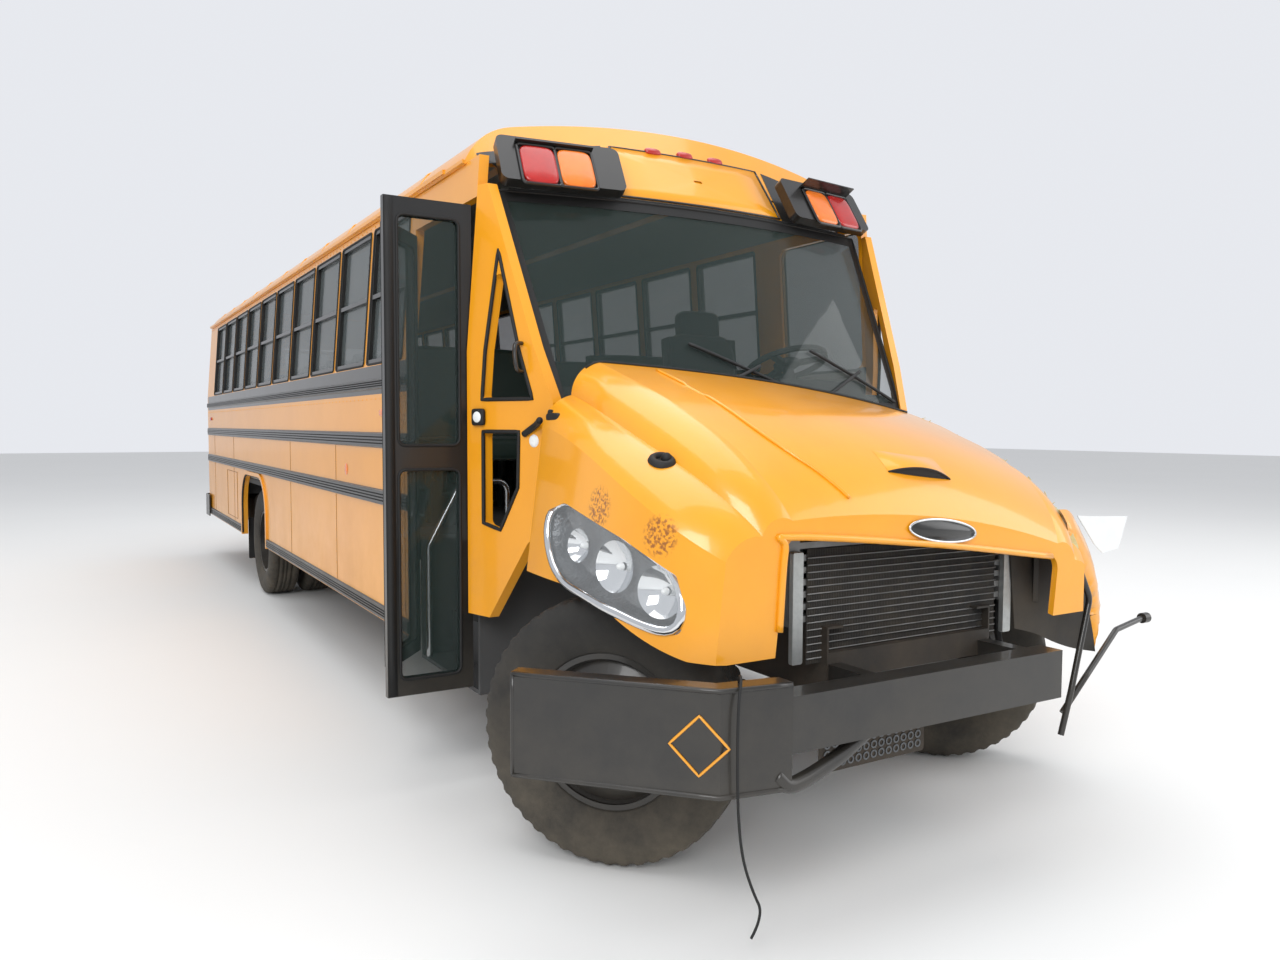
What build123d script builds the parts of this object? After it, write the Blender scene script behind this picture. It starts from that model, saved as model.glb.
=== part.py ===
"""School bus with the engine in front, as it stands after a knock on its front left corner.

The drawing's frame: x across (the bus's left is +x), y rearward, z up,
front axle at y = 0, floor at z = 0. Every piece is moved to ORIGIN as it is written.
Lengths are in millimetres, angles in degrees.
"""
from build123d import *
from math import cos, radians, sin
import os

# Body
HALF_WIDTH = 1220
WALL = 45
SKIRT_Z = 515
BELT_Z = 1955
GUTTER_X = 1155
GUTTER_Z = 2825
CROWN_Z = 3120
FLOOR_Z = 1095
FLOOR_THICK = 45
WHEELBASE = 6579
DOOR_FRONT_Y = 840
DOOR_REAR_Y = 1700
DOOR_TOP_Z = 2640
CAP_REAR_Y = 1250
BODY_REAR_Y = 9875
REAR_FACE_Y = 9995
COWL_TAPER = 0.43

# Windows: pillars stand a pitch apart, and the first is behind the doorway
PILLAR_Y = 1769
WINDOW_PITCH = 755
WINDOW_COUNT = 10
PILLAR_HALF = 36
WINDOW_SILL_Z = 1985
WINDOW_TOP_Z = 2770
GLASS = 6

# Rub rails along the side: (lowest z, highest z)
RAIL_BANDS = ((524, 603), (1178, 1266), (1500, 1590), (1834, 1897))
RAIL_PROUD = 14

# Chassis
RAIL_OUTER_X = 432
RAIL_FLANGE = 76
RAIL_LOW_Z = 660
RAIL_HIGH_Z = 914
RAIL_FRONT_Y = -650
RAIL_REAR_Y = 9870

# Wheels
AXLE_Z = 505
TYRE_R = 505
TYRE_HALF = 140
RIM_R = 292
KINGPIN_X = 860
TYRE_OFFSET = 170
REST_STEER = 40
ARM_LENGTH = 220
DUAL_OUTER_X = 1020
DUAL_INNER_X = 680
DUAL_DISC_X = 850

# Hood: it has sunk on the bus's left, and leans by HOOD_ROLL about HOOD_Z
HOOD_ROLL = 6.5
HOOD_Z = 1200
HOOD_SHELL = 25

# Entry door
LEAF_WIDTH = 390
LEAF_THICK = 36
LEAF_LOW_Z = 450
LEAF_HIGH_Z = 2600
HINGE_X = 1185
FRONT_HINGE_Y = 865
REAR_HINGE_Y = 1676
REAR_LEAF_OPEN = 38

# Origin of the finished part: the middle of its box, on the floor
MIRROR_ARM_TIP_X = 1600
FRONT_LEAF_TIP_X = -HINGE_X - LEAF_WIDTH - 10
BUMPER_FRONT_Y = -985
BUMPER_REAR_Y = 10095
ORIGIN = ((MIRROR_ARM_TIP_X + FRONT_LEAF_TIP_X) / 2, (BUMPER_FRONT_Y + BUMPER_REAR_Y) / 2, 0)

SIDES = {"right": -1, "left": 1}

os.makedirs("parts", exist_ok=True)


def across(y):
    """A plane across the bus: sketch x is x, sketch y is z, and its normal points forward."""
    return Plane(origin=(0, y, 0), x_dir=(1, 0, 0), z_dir=(0, -1, 0))


def along(x):
    """A plane along the bus: sketch x is y, sketch y is z, and its normal is +x."""
    return Plane(origin=(x, 0, 0), x_dir=(0, 1, 0), z_dir=(1, 0, 0))


def write(part, name):
    """Labels a piece, moves it to the part's origin and writes its file."""
    moved = part.moved(Location((-ORIGIN[0], -ORIGIN[1], -ORIGIN[2])))
    moved.label = name
    export_step(moved, f"parts/{name}.step")


def roof_corner(inset):
    """Points of the roof's side arc, from the gutter to the knee, inset by a wall's depth."""
    return (GUTTER_X - inset, GUTTER_Z), (1082 - 0.72 * inset, 2945 - 0.69 * inset), \
        (905 - 0.17 * inset, 3040 - 0.98 * inset)


def body_section(y, inset, low_z):
    """A face across the body: walls upright to the belt, leaning in to the gutter, arched roof."""
    gutter, shoulder, knee = roof_corner(inset)
    side_x = HALF_WIDTH - inset
    with BuildSketch(across(y)) as section:
        with BuildLine():
            for side in (1, -1):
                if low_z < BELT_Z:
                    Polyline((side * side_x, low_z), (side * side_x, BELT_Z), (side * gutter[0], gutter[1]))
                elif low_z < GUTTER_Z:
                    lean_x = side_x - (low_z - BELT_Z) * (HALF_WIDTH - GUTTER_X) / (GUTTER_Z - BELT_Z)
                    Line((side * lean_x, low_z), (side * gutter[0], gutter[1]))
                ThreePointArc((side * gutter[0], gutter[1]), (side * shoulder[0], shoulder[1]),
                              (side * knee[0], knee[1]))
            ThreePointArc((knee[0], knee[1]), (0, CROWN_Z - inset), (-knee[0], knee[1]))
            if low_z < BELT_Z:
                Line((side_x, low_z), (-side_x, low_z))
            elif low_z < GUTTER_Z:
                Line((lean_x, low_z), (-lean_x, low_z))
            else:
                Line((gutter[0], gutter[1]), (-gutter[0], gutter[1]))
        make_face()
    return section.sketch


def wall_section(side, y, low_z):
    """A face across one side wall, from low_z to the gutter."""
    outer, inner = side * HALF_WIDTH, side * (HALF_WIDTH - WALL)
    with BuildSketch(across(y)) as section:
        with BuildLine():
            Polyline((outer, low_z), (outer, BELT_Z), (side * GUTTER_X, GUTTER_Z),
                     (side * (GUTTER_X - WALL), GUTTER_Z), (inner, BELT_Z), (inner, low_z), close=True)
        make_face()
    return section.sketch


# Chassis frame: two channel rails, with members across them
CROSS_MEMBERS_Y = (1500, 2700, 4100, 5500, 7500, 8700, 9800)
with BuildPart() as chassis_frame:
    for side in SIDES.values():
        web_x = side * (RAIL_OUTER_X - 4)
        flange_x = side * (RAIL_OUTER_X - RAIL_FLANGE / 2)
        with BuildSketch(across(RAIL_FRONT_Y)):
            with Locations((web_x, (RAIL_LOW_Z + RAIL_HIGH_Z) / 2)):
                Rectangle(8, RAIL_HIGH_Z - RAIL_LOW_Z)
            with Locations((flange_x, RAIL_LOW_Z + 4), (flange_x, RAIL_HIGH_Z - 4)):
                Rectangle(RAIL_FLANGE, 8)
        extrude(amount=-(RAIL_REAR_Y - RAIL_FRONT_Y))
    with BuildSketch(along(0)):
        with Locations((RAIL_FRONT_Y + 30, 770)):
            Rectangle(60, 100)
        with Locations(*[(member_y, 862) for member_y in CROSS_MEMBERS_Y]):
            Rectangle(60, 70)
    extrude(amount=RAIL_OUTER_X - 8, both=True)
write(chassis_frame.part, "chassis_frame")

# Radiator: a frame round a core, with the charge cooler's flat tubes across its front
RADIATOR_Y = -510
with BuildPart() as radiator:
    with BuildSketch(across(RADIATOR_Y - 60)):
        with Locations((0, 1122)):
            Rectangle(1160, 400)
        with Locations((0, 860)):
            Rectangle(690, 160)
    extrude(amount=-70)
    with BuildSketch(across(RADIATOR_Y - 100)):
        with Locations((-555, 1122), (555, 1122)):
            Rectangle(50, 400)
        with Locations(*[(0, 945 + 44 * row) for row in range(9)]):
            Rectangle(1070, 22)
    extrude(amount=-40)
    with BuildSketch(across(RADIATOR_Y - 60)):
        with Locations((0, 735)):
            Rectangle(2 * (RAIL_OUTER_X - RAIL_FLANGE) - 20, 100)
        with Locations((0, 916)):
            Rectangle(2 * RAIL_OUTER_X, 4)
    extrude(amount=-60)
write(radiator.part, "radiator")

# Front axle: a beam between the kingpins, with an eye at each end and a pad for each spring
KINGPIN_R = 22
EYE_LOW_Z, EYE_HIGH_Z = 455, 555
SPRING_X = RAIL_OUTER_X - RAIL_FLANGE / 2
with BuildPart() as front_axle:
    with BuildSketch(along(0)):
        with Locations((0, 465), (0, 525)):
            Rectangle(90, 20)
        with Locations((0, 495)):
            Rectangle(24, 60)
    extrude(amount=KINGPIN_X - 40, both=True)
    with BuildSketch(Plane.XY.offset(EYE_LOW_Z)):
        with Locations((KINGPIN_X, 0), (-KINGPIN_X, 0)):
            Circle(50)
    extrude(amount=EYE_HIGH_Z - EYE_LOW_Z)
    with BuildSketch(Plane.XY.offset(525)):
        with Locations((SPRING_X, 0), (-SPRING_X, 0)):
            Rectangle(76, 120)
    extrude(amount=10)
    with BuildSketch(Plane.XY.offset(400)):
        with Locations((KINGPIN_X, 0), (-KINGPIN_X, 0)):
            Circle(KINGPIN_R + 1)
    extrude(amount=200, mode=Mode.SUBTRACT)
write(front_axle.part, "front_axle")

# Rear axle: tapered tubes either side of a round gear case, and the nose that takes the shaft
with BuildPart() as rear_axle:
    with BuildSketch(Plane.XY.offset(AXLE_Z)):
        with BuildLine():
            Polyline((0, WHEELBASE), (0, WHEELBASE + 200), (110, WHEELBASE + 190), (240, WHEELBASE + 80),
                     (560, WHEELBASE + 66), (560, WHEELBASE + 44), (1100, WHEELBASE + 44),
                     (1100, WHEELBASE), close=True)
        make_face()
        mirror(about=Plane.YZ)
    revolve(axis=Axis((0, WHEELBASE, AXLE_Z), (1, 0, 0)))
    with BuildSketch(Plane(origin=(0, WHEELBASE, AXLE_Z), z_dir=(0, -1, 55 / 240))):
        Circle(90)
    extrude(amount=250, taper=8)
    with BuildSketch(Plane.XY.offset(AXLE_Z)):
        with Locations((SPRING_X, WHEELBASE), (-SPRING_X, WHEELBASE)):
            Rectangle(76, 120)
    extrude(amount=85)
write(rear_axle.part, "rear_axle")

# Engine as one plain block, with its gearbox and the shaft to the rear axle
ENGINE_FRONT_Y, ENGINE_REAR_Y = -460, 380
SHAFT_END_Y = WHEELBASE - 240
with BuildPart() as power_train:
    with BuildSketch(across(ENGINE_FRONT_Y)):
        with Locations((0, 1070)):
            Rectangle(660, 820)
    extrude(amount=-(ENGINE_REAR_Y - ENGINE_FRONT_Y))
    with BuildSketch(across(ENGINE_REAR_Y)):
        with Locations((0, 800)):
            Circle(190)
    extrude(amount=-700, taper=3)
    with BuildSketch(Plane(origin=(0, 1050, 750), z_dir=(0, SHAFT_END_Y - 1050, -(750 - 560)))):
        Circle(48)
    extrude(amount=SHAFT_END_Y - 1050)
    add(rear_axle.part, mode=Mode.SUBTRACT)
write(power_train.part, "power_train")
with BuildPart() as engine_mounts:
    with BuildSketch(across(-40)):
        with Locations((0, 790)):
            Rectangle(2 * (RAIL_OUTER_X - 8), 60)
    extrude(amount=-100)
    add(power_train.part, mode=Mode.SUBTRACT)
write(engine_mounts.part, "engine_mounts")

# Leaf springs: (axle y, half length, seat z, eye z)
SPRING_PACKS = ((0, 640, 535, 630), (WHEELBASE, 740, 590, 652))
LEAF = 12
with BuildPart() as leaf_springs:
    for axle_y, half_length, seat_z, eye_z in SPRING_PACKS:
        sag = eye_z - seat_z - 4 * LEAF
        bend_r = half_length ** 2 / (2 * sag) + sag / 2
        top_z = seat_z + 4 * LEAF
        for side in SIDES.values():
            with BuildSketch(along(side * SPRING_X)):
                for row in range(4):
                    reach = half_length * (1 - 0.2 * row)
                    rise = reach ** 2 / (2 * bend_r)
                    low_z = top_z - LEAF * (row + 1)
                    with BuildLine():
                        ThreePointArc((axle_y - reach, low_z + rise), (axle_y, low_z), (axle_y + reach, low_z + rise))
                        Line((axle_y + reach, low_z + rise), (axle_y + reach, low_z + rise + LEAF))
                        ThreePointArc((axle_y + reach, low_z + rise + LEAF), (axle_y, low_z + LEAF),
                                      (axle_y - reach, low_z + rise + LEAF))
                        Line((axle_y - reach, low_z + rise + LEAF), (axle_y - reach, low_z + rise))
                    make_face()
                with Locations((axle_y - half_length, RAIL_LOW_Z - 19), (axle_y + half_length, RAIL_LOW_Z - 19)):
                    Rectangle(60, 38)
            extrude(amount=33, both=True)
write(leaf_springs.part, "leaf_springs")

# Fuel tank behind the rear axle on the right, held to the rail by two brackets
TANK_FRONT_Y, TANK_REAR_Y = 7420, 8620
with BuildPart() as fuel_tank:
    with BuildSketch(across(TANK_FRONT_Y)):
        with Locations((-800, 740)):
            RectangleRounded(560, 340, 70)
    extrude(amount=-(TANK_REAR_Y - TANK_FRONT_Y))
    with BuildSketch(along(-RAIL_OUTER_X)):
        with Locations((TANK_FRONT_Y + 250, 790), (TANK_REAR_Y - 250, 790)):
            Rectangle(60, 200)
    extrude(amount=-90)
write(fuel_tank.part, "fuel_tank")

# Exhaust: down pipe from the engine, silencer under the left side, outlet ahead of the rear wheels
PIPE_R = 45
with BuildPart() as exhaust:
    with BuildLine() as pipe_path:
        FilletPolyline((270, ENGINE_REAR_Y, 700), (270, 1100, 600), (740, 1500, 600), (740, 5500, 600),
                       (1120, 5800, 570), radius=120)
    with BuildSketch(Plane(origin=(270, ENGINE_REAR_Y, 700), z_dir=pipe_path.line % 0)):
        Circle(PIPE_R)
    sweep()
    with BuildSketch(across(4250)):
        with Locations((740, 640)):
            Circle(125)
    extrude(amount=-1100)
    with BuildSketch(along(RAIL_OUTER_X)):
        with Locations((4500, 720), (5100, 720)):
            Rectangle(50, 60)
    extrude(amount=300)
    add(power_train.part, mode=Mode.SUBTRACT)
write(exhaust.part, "exhaust")

# Floor: a plate with bearers under it that sit on the chassis rails
BEARER_PITCH = WINDOW_PITCH / 2
with BuildPart() as floor:
    with BuildSketch(Plane.XY.offset(FLOOR_Z - FLOOR_THICK)):
        with BuildLine():
            inner_x = HALF_WIDTH - WALL
            Polyline((inner_x, DOOR_FRONT_Y), (inner_x, BODY_REAR_Y), (-inner_x, BODY_REAR_Y),
                     (-inner_x, DOOR_REAR_Y), (-560, DOOR_REAR_Y), (-560, 450), (1000, 450),
                     (1000, DOOR_FRONT_Y), close=True)
        make_face()
    extrude(amount=FLOOR_THICK)
    bearers = [PILLAR_Y + BEARER_PITCH * row for row in range(21)]
    clear = [bearer_y for bearer_y in bearers if abs(bearer_y - WHEELBASE) > TYRE_R + 60]
    with BuildSketch(along(0)):
        with Locations(*[(bearer_y, (RAIL_HIGH_Z + FLOOR_Z - FLOOR_THICK) / 2) for bearer_y in clear]):
            Rectangle(50, FLOOR_Z - FLOOR_THICK - RAIL_HIGH_Z)
    extrude(amount=HALF_WIDTH - WALL, both=True)
write(floor.part, "floor")

# Step well: (tread z, outer x), then cheeks at both ends
STEP_OUTER_X = -1158
STEPS = ((400, STEP_OUTER_X), (620, -975), (860, -765), (FLOOR_Z - FLOOR_THICK, -560))
STEP_PLATE = 20
with BuildPart() as stepwell:
    with BuildSketch(across(DOOR_FRONT_Y + 20)):
        for (tread_z, outer_x), (next_z, riser_x) in zip(STEPS, STEPS[1:]):
            with Locations(((outer_x + riser_x) / 2, tread_z + STEP_PLATE / 2)):
                Rectangle(riser_x - outer_x, STEP_PLATE)
            with Locations((riser_x - STEP_PLATE / 2, (tread_z + next_z + STEP_PLATE) / 2)):
                Rectangle(STEP_PLATE, next_z - tread_z + STEP_PLATE)
    extrude(amount=-(DOOR_REAR_Y - DOOR_FRONT_Y - 20))
    with BuildSketch(across(DOOR_FRONT_Y + 20)) as cheek:
        with BuildLine():
            Polyline((STEP_OUTER_X, 400), (-975, 400), (-765, 620), (-560, 860), (-560, FLOOR_Z - FLOOR_THICK),
                     (STEP_OUTER_X, FLOOR_Z - FLOOR_THICK), close=True)
        make_face()
    extrude(amount=-STEP_PLATE)
    extrude(cheek.sketch.moved(Location((0, DOOR_REAR_Y - DOOR_FRONT_Y - 20, 0))), amount=STEP_PLATE)
write(stepwell.part, "stepwell")

# Side walls: windows between the pillars, wheel arch, and the doorway on the right
ARCH_WIDTH, ARCH_TOP_Z, ARCH_R = 1330, 1140, 330
ARCH_LIP = 16
DRIVER_WINDOW = (1215, 2350, 700, 770)
WINDOW_WIDTH = WINDOW_PITCH - 2 * PILLAR_HALF
WINDOW_HEIGHT = WINDOW_TOP_Z - WINDOW_SILL_Z
WINDOW_MID_Z = (WINDOW_SILL_Z + WINDOW_TOP_Z) / 2
BAY_CENTRES_Y = [PILLAR_Y + WINDOW_PITCH * (bay + 0.5) for bay in range(WINDOW_COUNT)]
side_walls = []
for name, side in SIDES.items():
    with BuildSketch(along(0)) as wall_face:
        with Locations(((DOOR_FRONT_Y + BODY_REAR_Y) / 2, (SKIRT_Z + GUTTER_Z) / 2)):
            Rectangle(BODY_REAR_Y - DOOR_FRONT_Y, GUTTER_Z - SKIRT_Z)
        with Locations(*[(bay_y, WINDOW_MID_Z) for bay_y in BAY_CENTRES_Y]):
            RectangleRounded(WINDOW_WIDTH, WINDOW_HEIGHT, 30, mode=Mode.SUBTRACT)
        with Locations((WHEELBASE, ARCH_TOP_Z - 500)):
            RectangleRounded(ARCH_WIDTH, 1000, ARCH_R, mode=Mode.SUBTRACT)
        with Locations((WHEELBASE, 400)):
            Rectangle(ARCH_WIDTH, 500, mode=Mode.SUBTRACT)
        if name == "right":
            with Locations(((DOOR_FRONT_Y + DOOR_REAR_Y) / 2 - 50, DOOR_TOP_Z / 2)):
                Rectangle(DOOR_REAR_Y - DOOR_FRONT_Y + 100, DOOR_TOP_Z, mode=Mode.SUBTRACT)
        else:
            with Locations(DRIVER_WINDOW[:2]):
                RectangleRounded(DRIVER_WINDOW[2], DRIVER_WINDOW[3], 60, mode=Mode.SUBTRACT)
    with BuildPart() as side_wall:
        extrude(wall_section(side, DOOR_FRONT_Y, SKIRT_Z).faces()[0], amount=-(BODY_REAR_Y - DOOR_FRONT_Y))
        extrude(wall_face.sketch, amount=side * (HALF_WIDTH + 50), mode=Mode.INTERSECT)
        with BuildSketch(along(side * (HALF_WIDTH - 20))):
            with Locations((WHEELBASE, ARCH_TOP_Z - 464)):
                RectangleRounded(ARCH_WIDTH + 80, 1000, ARCH_R + 40)
            with Locations((WHEELBASE, ARCH_TOP_Z - 500)):
                RectangleRounded(ARCH_WIDTH, 1000, ARCH_R, mode=Mode.SUBTRACT)
            with Locations((WHEELBASE, SKIRT_Z - 400)):
                Rectangle(ARCH_WIDTH + 200, 800, mode=Mode.SUBTRACT)
        extrude(amount=side * (20 + ARCH_LIP))
    side_walls.append(side_wall.part)
    write(side_wall.part, f"side_wall_{name}")

# Roof: one arched shell with a drip rail along each side
roof_face = body_section(CAP_REAR_Y, 0, GUTTER_Z) - body_section(CAP_REAR_Y, WALL, GUTTER_Z - 60)
with BuildPart() as roof:
    extrude(roof_face.faces()[0], amount=-(BODY_REAR_Y - CAP_REAR_Y))
    for side in SIDES.values():
        with BuildSketch(across(CAP_REAR_Y)):
            with BuildLine():
                Polyline((side * 1150, 2826), (side * 1182, 2826), (side * 1182, 2846), (side * 1145, 2850),
                         close=True)
            make_face()
        extrude(amount=-(BODY_REAR_Y - CAP_REAR_Y))
write(roof.part, "roof")

# Rear bumper wraps round the corners, on two brackets, with four bolt holes in its face
BOLT_PITCH_X, BOLT_PITCH_Z, BOLT_HOLE_R, BOLT_CENTRE_Z = 180, 100, 9, 630
with BuildPart() as rear_bumper:
    with BuildSketch(Plane.XY.offset(500)):
        with BuildLine():
            FilletPolyline((-1246, 9700), (-1246, BUMPER_REAR_Y - 6), (1246, BUMPER_REAR_Y - 6), (1246, 9700),
                           radius=90)
        trace(line_width=12)
    extrude(amount=260)
    with BuildSketch(Plane.XY.offset(RAIL_LOW_Z)):
        with Locations((SPRING_X, 9979), (-SPRING_X, 9979)):
            Rectangle(60, 218)
    extrude(amount=100)
    with BuildSketch(across(BUMPER_REAR_Y + 10)):
        with Locations((0, BOLT_CENTRE_Z)):
            with GridLocations(BOLT_PITCH_X, BOLT_PITCH_Z, 2, 2):
                Circle(BOLT_HOLE_R)
    extrude(amount=40, mode=Mode.SUBTRACT)
write(rear_bumper.part, "rear_bumper")

# Rear wall: rounded corners, the emergency doorway and a window either side of it
REAR_DOOR_HALF, REAR_DOOR_LOW_Z, REAR_DOOR_HIGH_Z = 380, 1110, 2620
REAR_WINDOW = (760, 2340, 520, 640)
REAR_STEPS = ((BODY_REAR_Y, 0), (9925, 0), (9972, 16), (REAR_FACE_Y, 60))
REAR_HOLLOW_STEPS = ((BODY_REAR_Y - 10, WALL), (9925, WALL), (REAR_FACE_Y - WALL, WALL + 12))
with BuildPart() as rear_wall:
    loft(sections=[body_section(y, inset, SKIRT_Z).faces()[0] for y, inset in REAR_STEPS], ruled=True)
    loft(sections=[body_section(y, inset, FLOOR_Z).faces()[0] for y, inset in REAR_HOLLOW_STEPS], ruled=True,
         mode=Mode.SUBTRACT)
    with BuildSketch(across(REAR_FACE_Y + 50)):
        with Locations((0, (REAR_DOOR_LOW_Z + REAR_DOOR_HIGH_Z) / 2)):
            Rectangle(2 * REAR_DOOR_HALF, REAR_DOOR_HIGH_Z - REAR_DOOR_LOW_Z)
        with Locations((REAR_WINDOW[0], REAR_WINDOW[1]), (-REAR_WINDOW[0], REAR_WINDOW[1])):
            RectangleRounded(REAR_WINDOW[2], REAR_WINDOW[3], 50)
    extrude(amount=150, mode=Mode.SUBTRACT)
    add(rear_bumper.part, mode=Mode.SUBTRACT)
write(rear_wall.part, "rear_wall")


# Front cap: its face leans back as it rises, and is bowed in plan
CAP_LOW_Z, CAP_HIGH_Z = 2690, 3130


def cap_plan(z, front_y, inset):
    """The cap's outline in plan: a bowed front, round corners and straight sides."""
    side_x = 1160 - inset
    with BuildSketch(Plane.XY.offset(z)) as plan:
        with BuildLine():
            ThreePointArc((-side_x + 140, front_y + 130), (0, front_y), (side_x - 140, front_y + 130))
            ThreePointArc((side_x - 140, front_y + 130), (side_x - 38, front_y + 180), (side_x, front_y + 290))
            Polyline((side_x, front_y + 290), (side_x, 1700), (-side_x, 1700), (-side_x, front_y + 290))
            ThreePointArc((-side_x, front_y + 290), (-side_x + 38, front_y + 180),
                          (-side_x + 140, front_y + 130))
        make_face()
    return plan.sketch


# Warning lamps stand on a leaning face: (x of the outer lamp, x of the inner lamp)
LAMP_X = (905, 660)
LAMP_LEAN = 31
HOUSING_X = 782


def housing_plane(side):
    """The leaning face of the front cap that a warning lamp housing stands on."""
    return Plane(origin=(side * HOUSING_X, 808, 2797), x_dir=(1, side * 0.14, 0), z_dir=(side * 0.116, -0.85, 0.515))


with BuildPart() as lamp_housings:
    for side in SIDES.values():
        with BuildSketch(housing_plane(side)):
            RectangleRounded(590, 262, 35)
        extrude(amount=50)
with BuildPart() as cap_hollow:
    loft(sections=[cap_plan(CAP_LOW_Z - 5, 780, WALL).faces()[0], cap_plan(3040, 1010, WALL).faces()[0]],
         ruled=True)
    extrude(body_section(CAP_REAR_Y, WALL, CAP_LOW_Z - 10).faces()[0], amount=700, mode=Mode.INTERSECT)
with BuildPart() as front_cap:
    loft(sections=[cap_plan(CAP_LOW_Z, 730, 0).faces()[0], cap_plan(CAP_HIGH_Z, 1020, 0).faces()[0]], ruled=True)
    extrude(body_section(CAP_REAR_Y, 0, CAP_LOW_Z).faces()[0], amount=700, mode=Mode.INTERSECT)
    add(cap_hollow.part, mode=Mode.SUBTRACT)
    with BuildSketch(Plane.XY.offset(CAP_LOW_Z - 10)):
        with Locations((0, DOOR_FRONT_Y + 400)):
            Rectangle(2600, 800)
    extrude(amount=GUTTER_Z - CAP_LOW_Z + 10, mode=Mode.SUBTRACT)
    add(lamp_housings.part, mode=Mode.SUBTRACT)
write(front_cap.part, "front_cap")
write(lamp_housings.part, "lamp_housings")

# Cowl: side panels that taper in towards the front, with quarter windows, bulkhead and shelf
PANEL_OUTLINE = ((DOOR_FRONT_Y, CAP_LOW_Z), (785, CAP_LOW_Z), (378, 1726), (378, 1250),
                 (511, 1127), (719, 785), (DOOR_FRONT_Y, 790))
UPPER_QUARTER = ((700, 2400), (758, 1735), (477, 1735))
LOWER_QUARTER = ((752, 1610), (550, 1610), (556, 1364), (655, 1170), (752, 1195))
# Lower and upper edge of the windshield: half width, y of its ends, bow, z
GLASS_LOW = (1000, 390, 120, 1700)
GLASS_HIGH = (1085, 880, 150, CAP_LOW_Z)
GLASS_THICK = 10
REBATE = 5
BULKHEAD_Y = 430


def bowed_sheet(grow):
    """The windshield, bowed in plan and leaning back, or the room round it where grow is set."""
    with BuildPart() as sheet:
        for half, end_y, bow, z in (GLASS_LOW, GLASS_HIGH):
            half, end_y, back_y = half + grow, end_y - grow, end_y + GLASS_THICK + grow
            with BuildSketch(Plane.XY.offset(z)):
                with BuildLine():
                    ThreePointArc((-half, end_y), (0, end_y - bow), (half, end_y))
                    Line((half, end_y), (half, back_y))
                    ThreePointArc((half, back_y), (0, back_y - bow), (-half, back_y))
                    Line((-half, back_y), (-half, end_y))
                make_face()
        loft(ruled=True)
    return sheet.part


with BuildPart() as cowl:
    for side in SIDES.values():
        extrude(wall_section(side, DOOR_FRONT_Y, 700).faces()[0], amount=900, dir=(-side * COWL_TAPER, -1, 0))
    with BuildSketch(along(0)):
        with BuildLine():
            Polyline(*PANEL_OUTLINE, close=True)
        make_face()
    extrude(amount=HALF_WIDTH + 50, both=True, mode=Mode.INTERSECT)
    with BuildSketch(along(0)):
        for outline in (UPPER_QUARTER, LOWER_QUARTER):
            with BuildLine():
                FilletPolyline(*outline, radius=30, close=True)
            make_face()
    extrude(amount=HALF_WIDTH + 50, both=True, mode=Mode.SUBTRACT)
    add(bowed_sheet(REBATE), mode=Mode.SUBTRACT)
    with BuildSketch(Plane.XY.offset(CAP_LOW_Z)):
        with Locations((0, 500)):
            Rectangle(2600, 2400)
    extrude(amount=300, mode=Mode.SUBTRACT)
    with BuildSketch(Plane.XY.offset(1650)):
        with BuildLine():
            ThreePointArc((-985, 345), (0, 225), (985, 345))
            Polyline((985, 345), (1005, BULKHEAD_Y + 20), (-1005, BULKHEAD_Y + 20), (-985, 345))
        make_face()
    extrude(amount=40)
    with BuildSketch(across(BULKHEAD_Y)):
        with Locations((0, 1350)):
            Rectangle(2 * 1010, 600)
    extrude(amount=-20)
write(cowl.part, "cowl")


write(bowed_sheet(0), "windshield")

# Panes of the side, quarter, driver's and rear windows
with BuildPart() as body_glass:
    for side in SIDES.values():
        for bay in range(WINDOW_COUNT):
            pane_y = PILLAR_Y + WINDOW_PITCH * (bay + 0.5)
            with BuildSketch(across(pane_y - WINDOW_PITCH / 2 + PILLAR_HALF)):
                with BuildLine():
                    Polyline((side * 1196, WINDOW_SILL_Z), (side * 1137, WINDOW_TOP_Z),
                             (side * 1131, WINDOW_TOP_Z), (side * 1190, WINDOW_SILL_Z), close=True)
                make_face()
            extrude(amount=-(WINDOW_PITCH - 2 * PILLAR_HALF))
    with BuildSketch(across(REAR_FACE_Y - 20)):
        with Locations((REAR_WINDOW[0], REAR_WINDOW[1]), (-REAR_WINDOW[0], REAR_WINDOW[1])):
            RectangleRounded(REAR_WINDOW[2], REAR_WINDOW[3], 50)
    extrude(amount=-GLASS)
    with BuildSketch(across(DRIVER_WINDOW[0] - 350)):
        with BuildLine():
            Polyline((1196, 1960), (1140, 2730), (1134, 2730), (1190, 1960), close=True)
        make_face()
    extrude(amount=-700)
    add(side_walls, mode=Mode.SUBTRACT)
write(body_glass.part, "body_glass")

# Sashes: a black frame in each side window, with the mid rail of its drop pane
SASH = 26
with BuildPart() as sash_pair:
    for side in SIDES.values():
        extrude(wall_section(side, PILLAR_Y, 1500).faces()[0], amount=-WINDOW_PITCH)
    with BuildSketch(along(-HALF_WIDTH - 40)):
        with Locations((BAY_CENTRES_Y[0], WINDOW_MID_Z)):
            RectangleRounded(WINDOW_WIDTH, WINDOW_HEIGHT, 30)
            Rectangle(WINDOW_WIDTH - 2 * SASH, WINDOW_HEIGHT - 2 * SASH, mode=Mode.SUBTRACT)
            Rectangle(WINDOW_WIDTH - 2 * SASH + 4, SASH)
    extrude(amount=2 * (HALF_WIDTH + 40), mode=Mode.INTERSECT)
    add(body_glass.part, mode=Mode.SUBTRACT)
with BuildPart() as window_sashes:
    with Locations(*[(0, WINDOW_PITCH * bay, 0) for bay in range(WINDOW_COUNT)]):
        add(sash_pair.part)
write(window_sashes.part, "window_sashes")

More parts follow.
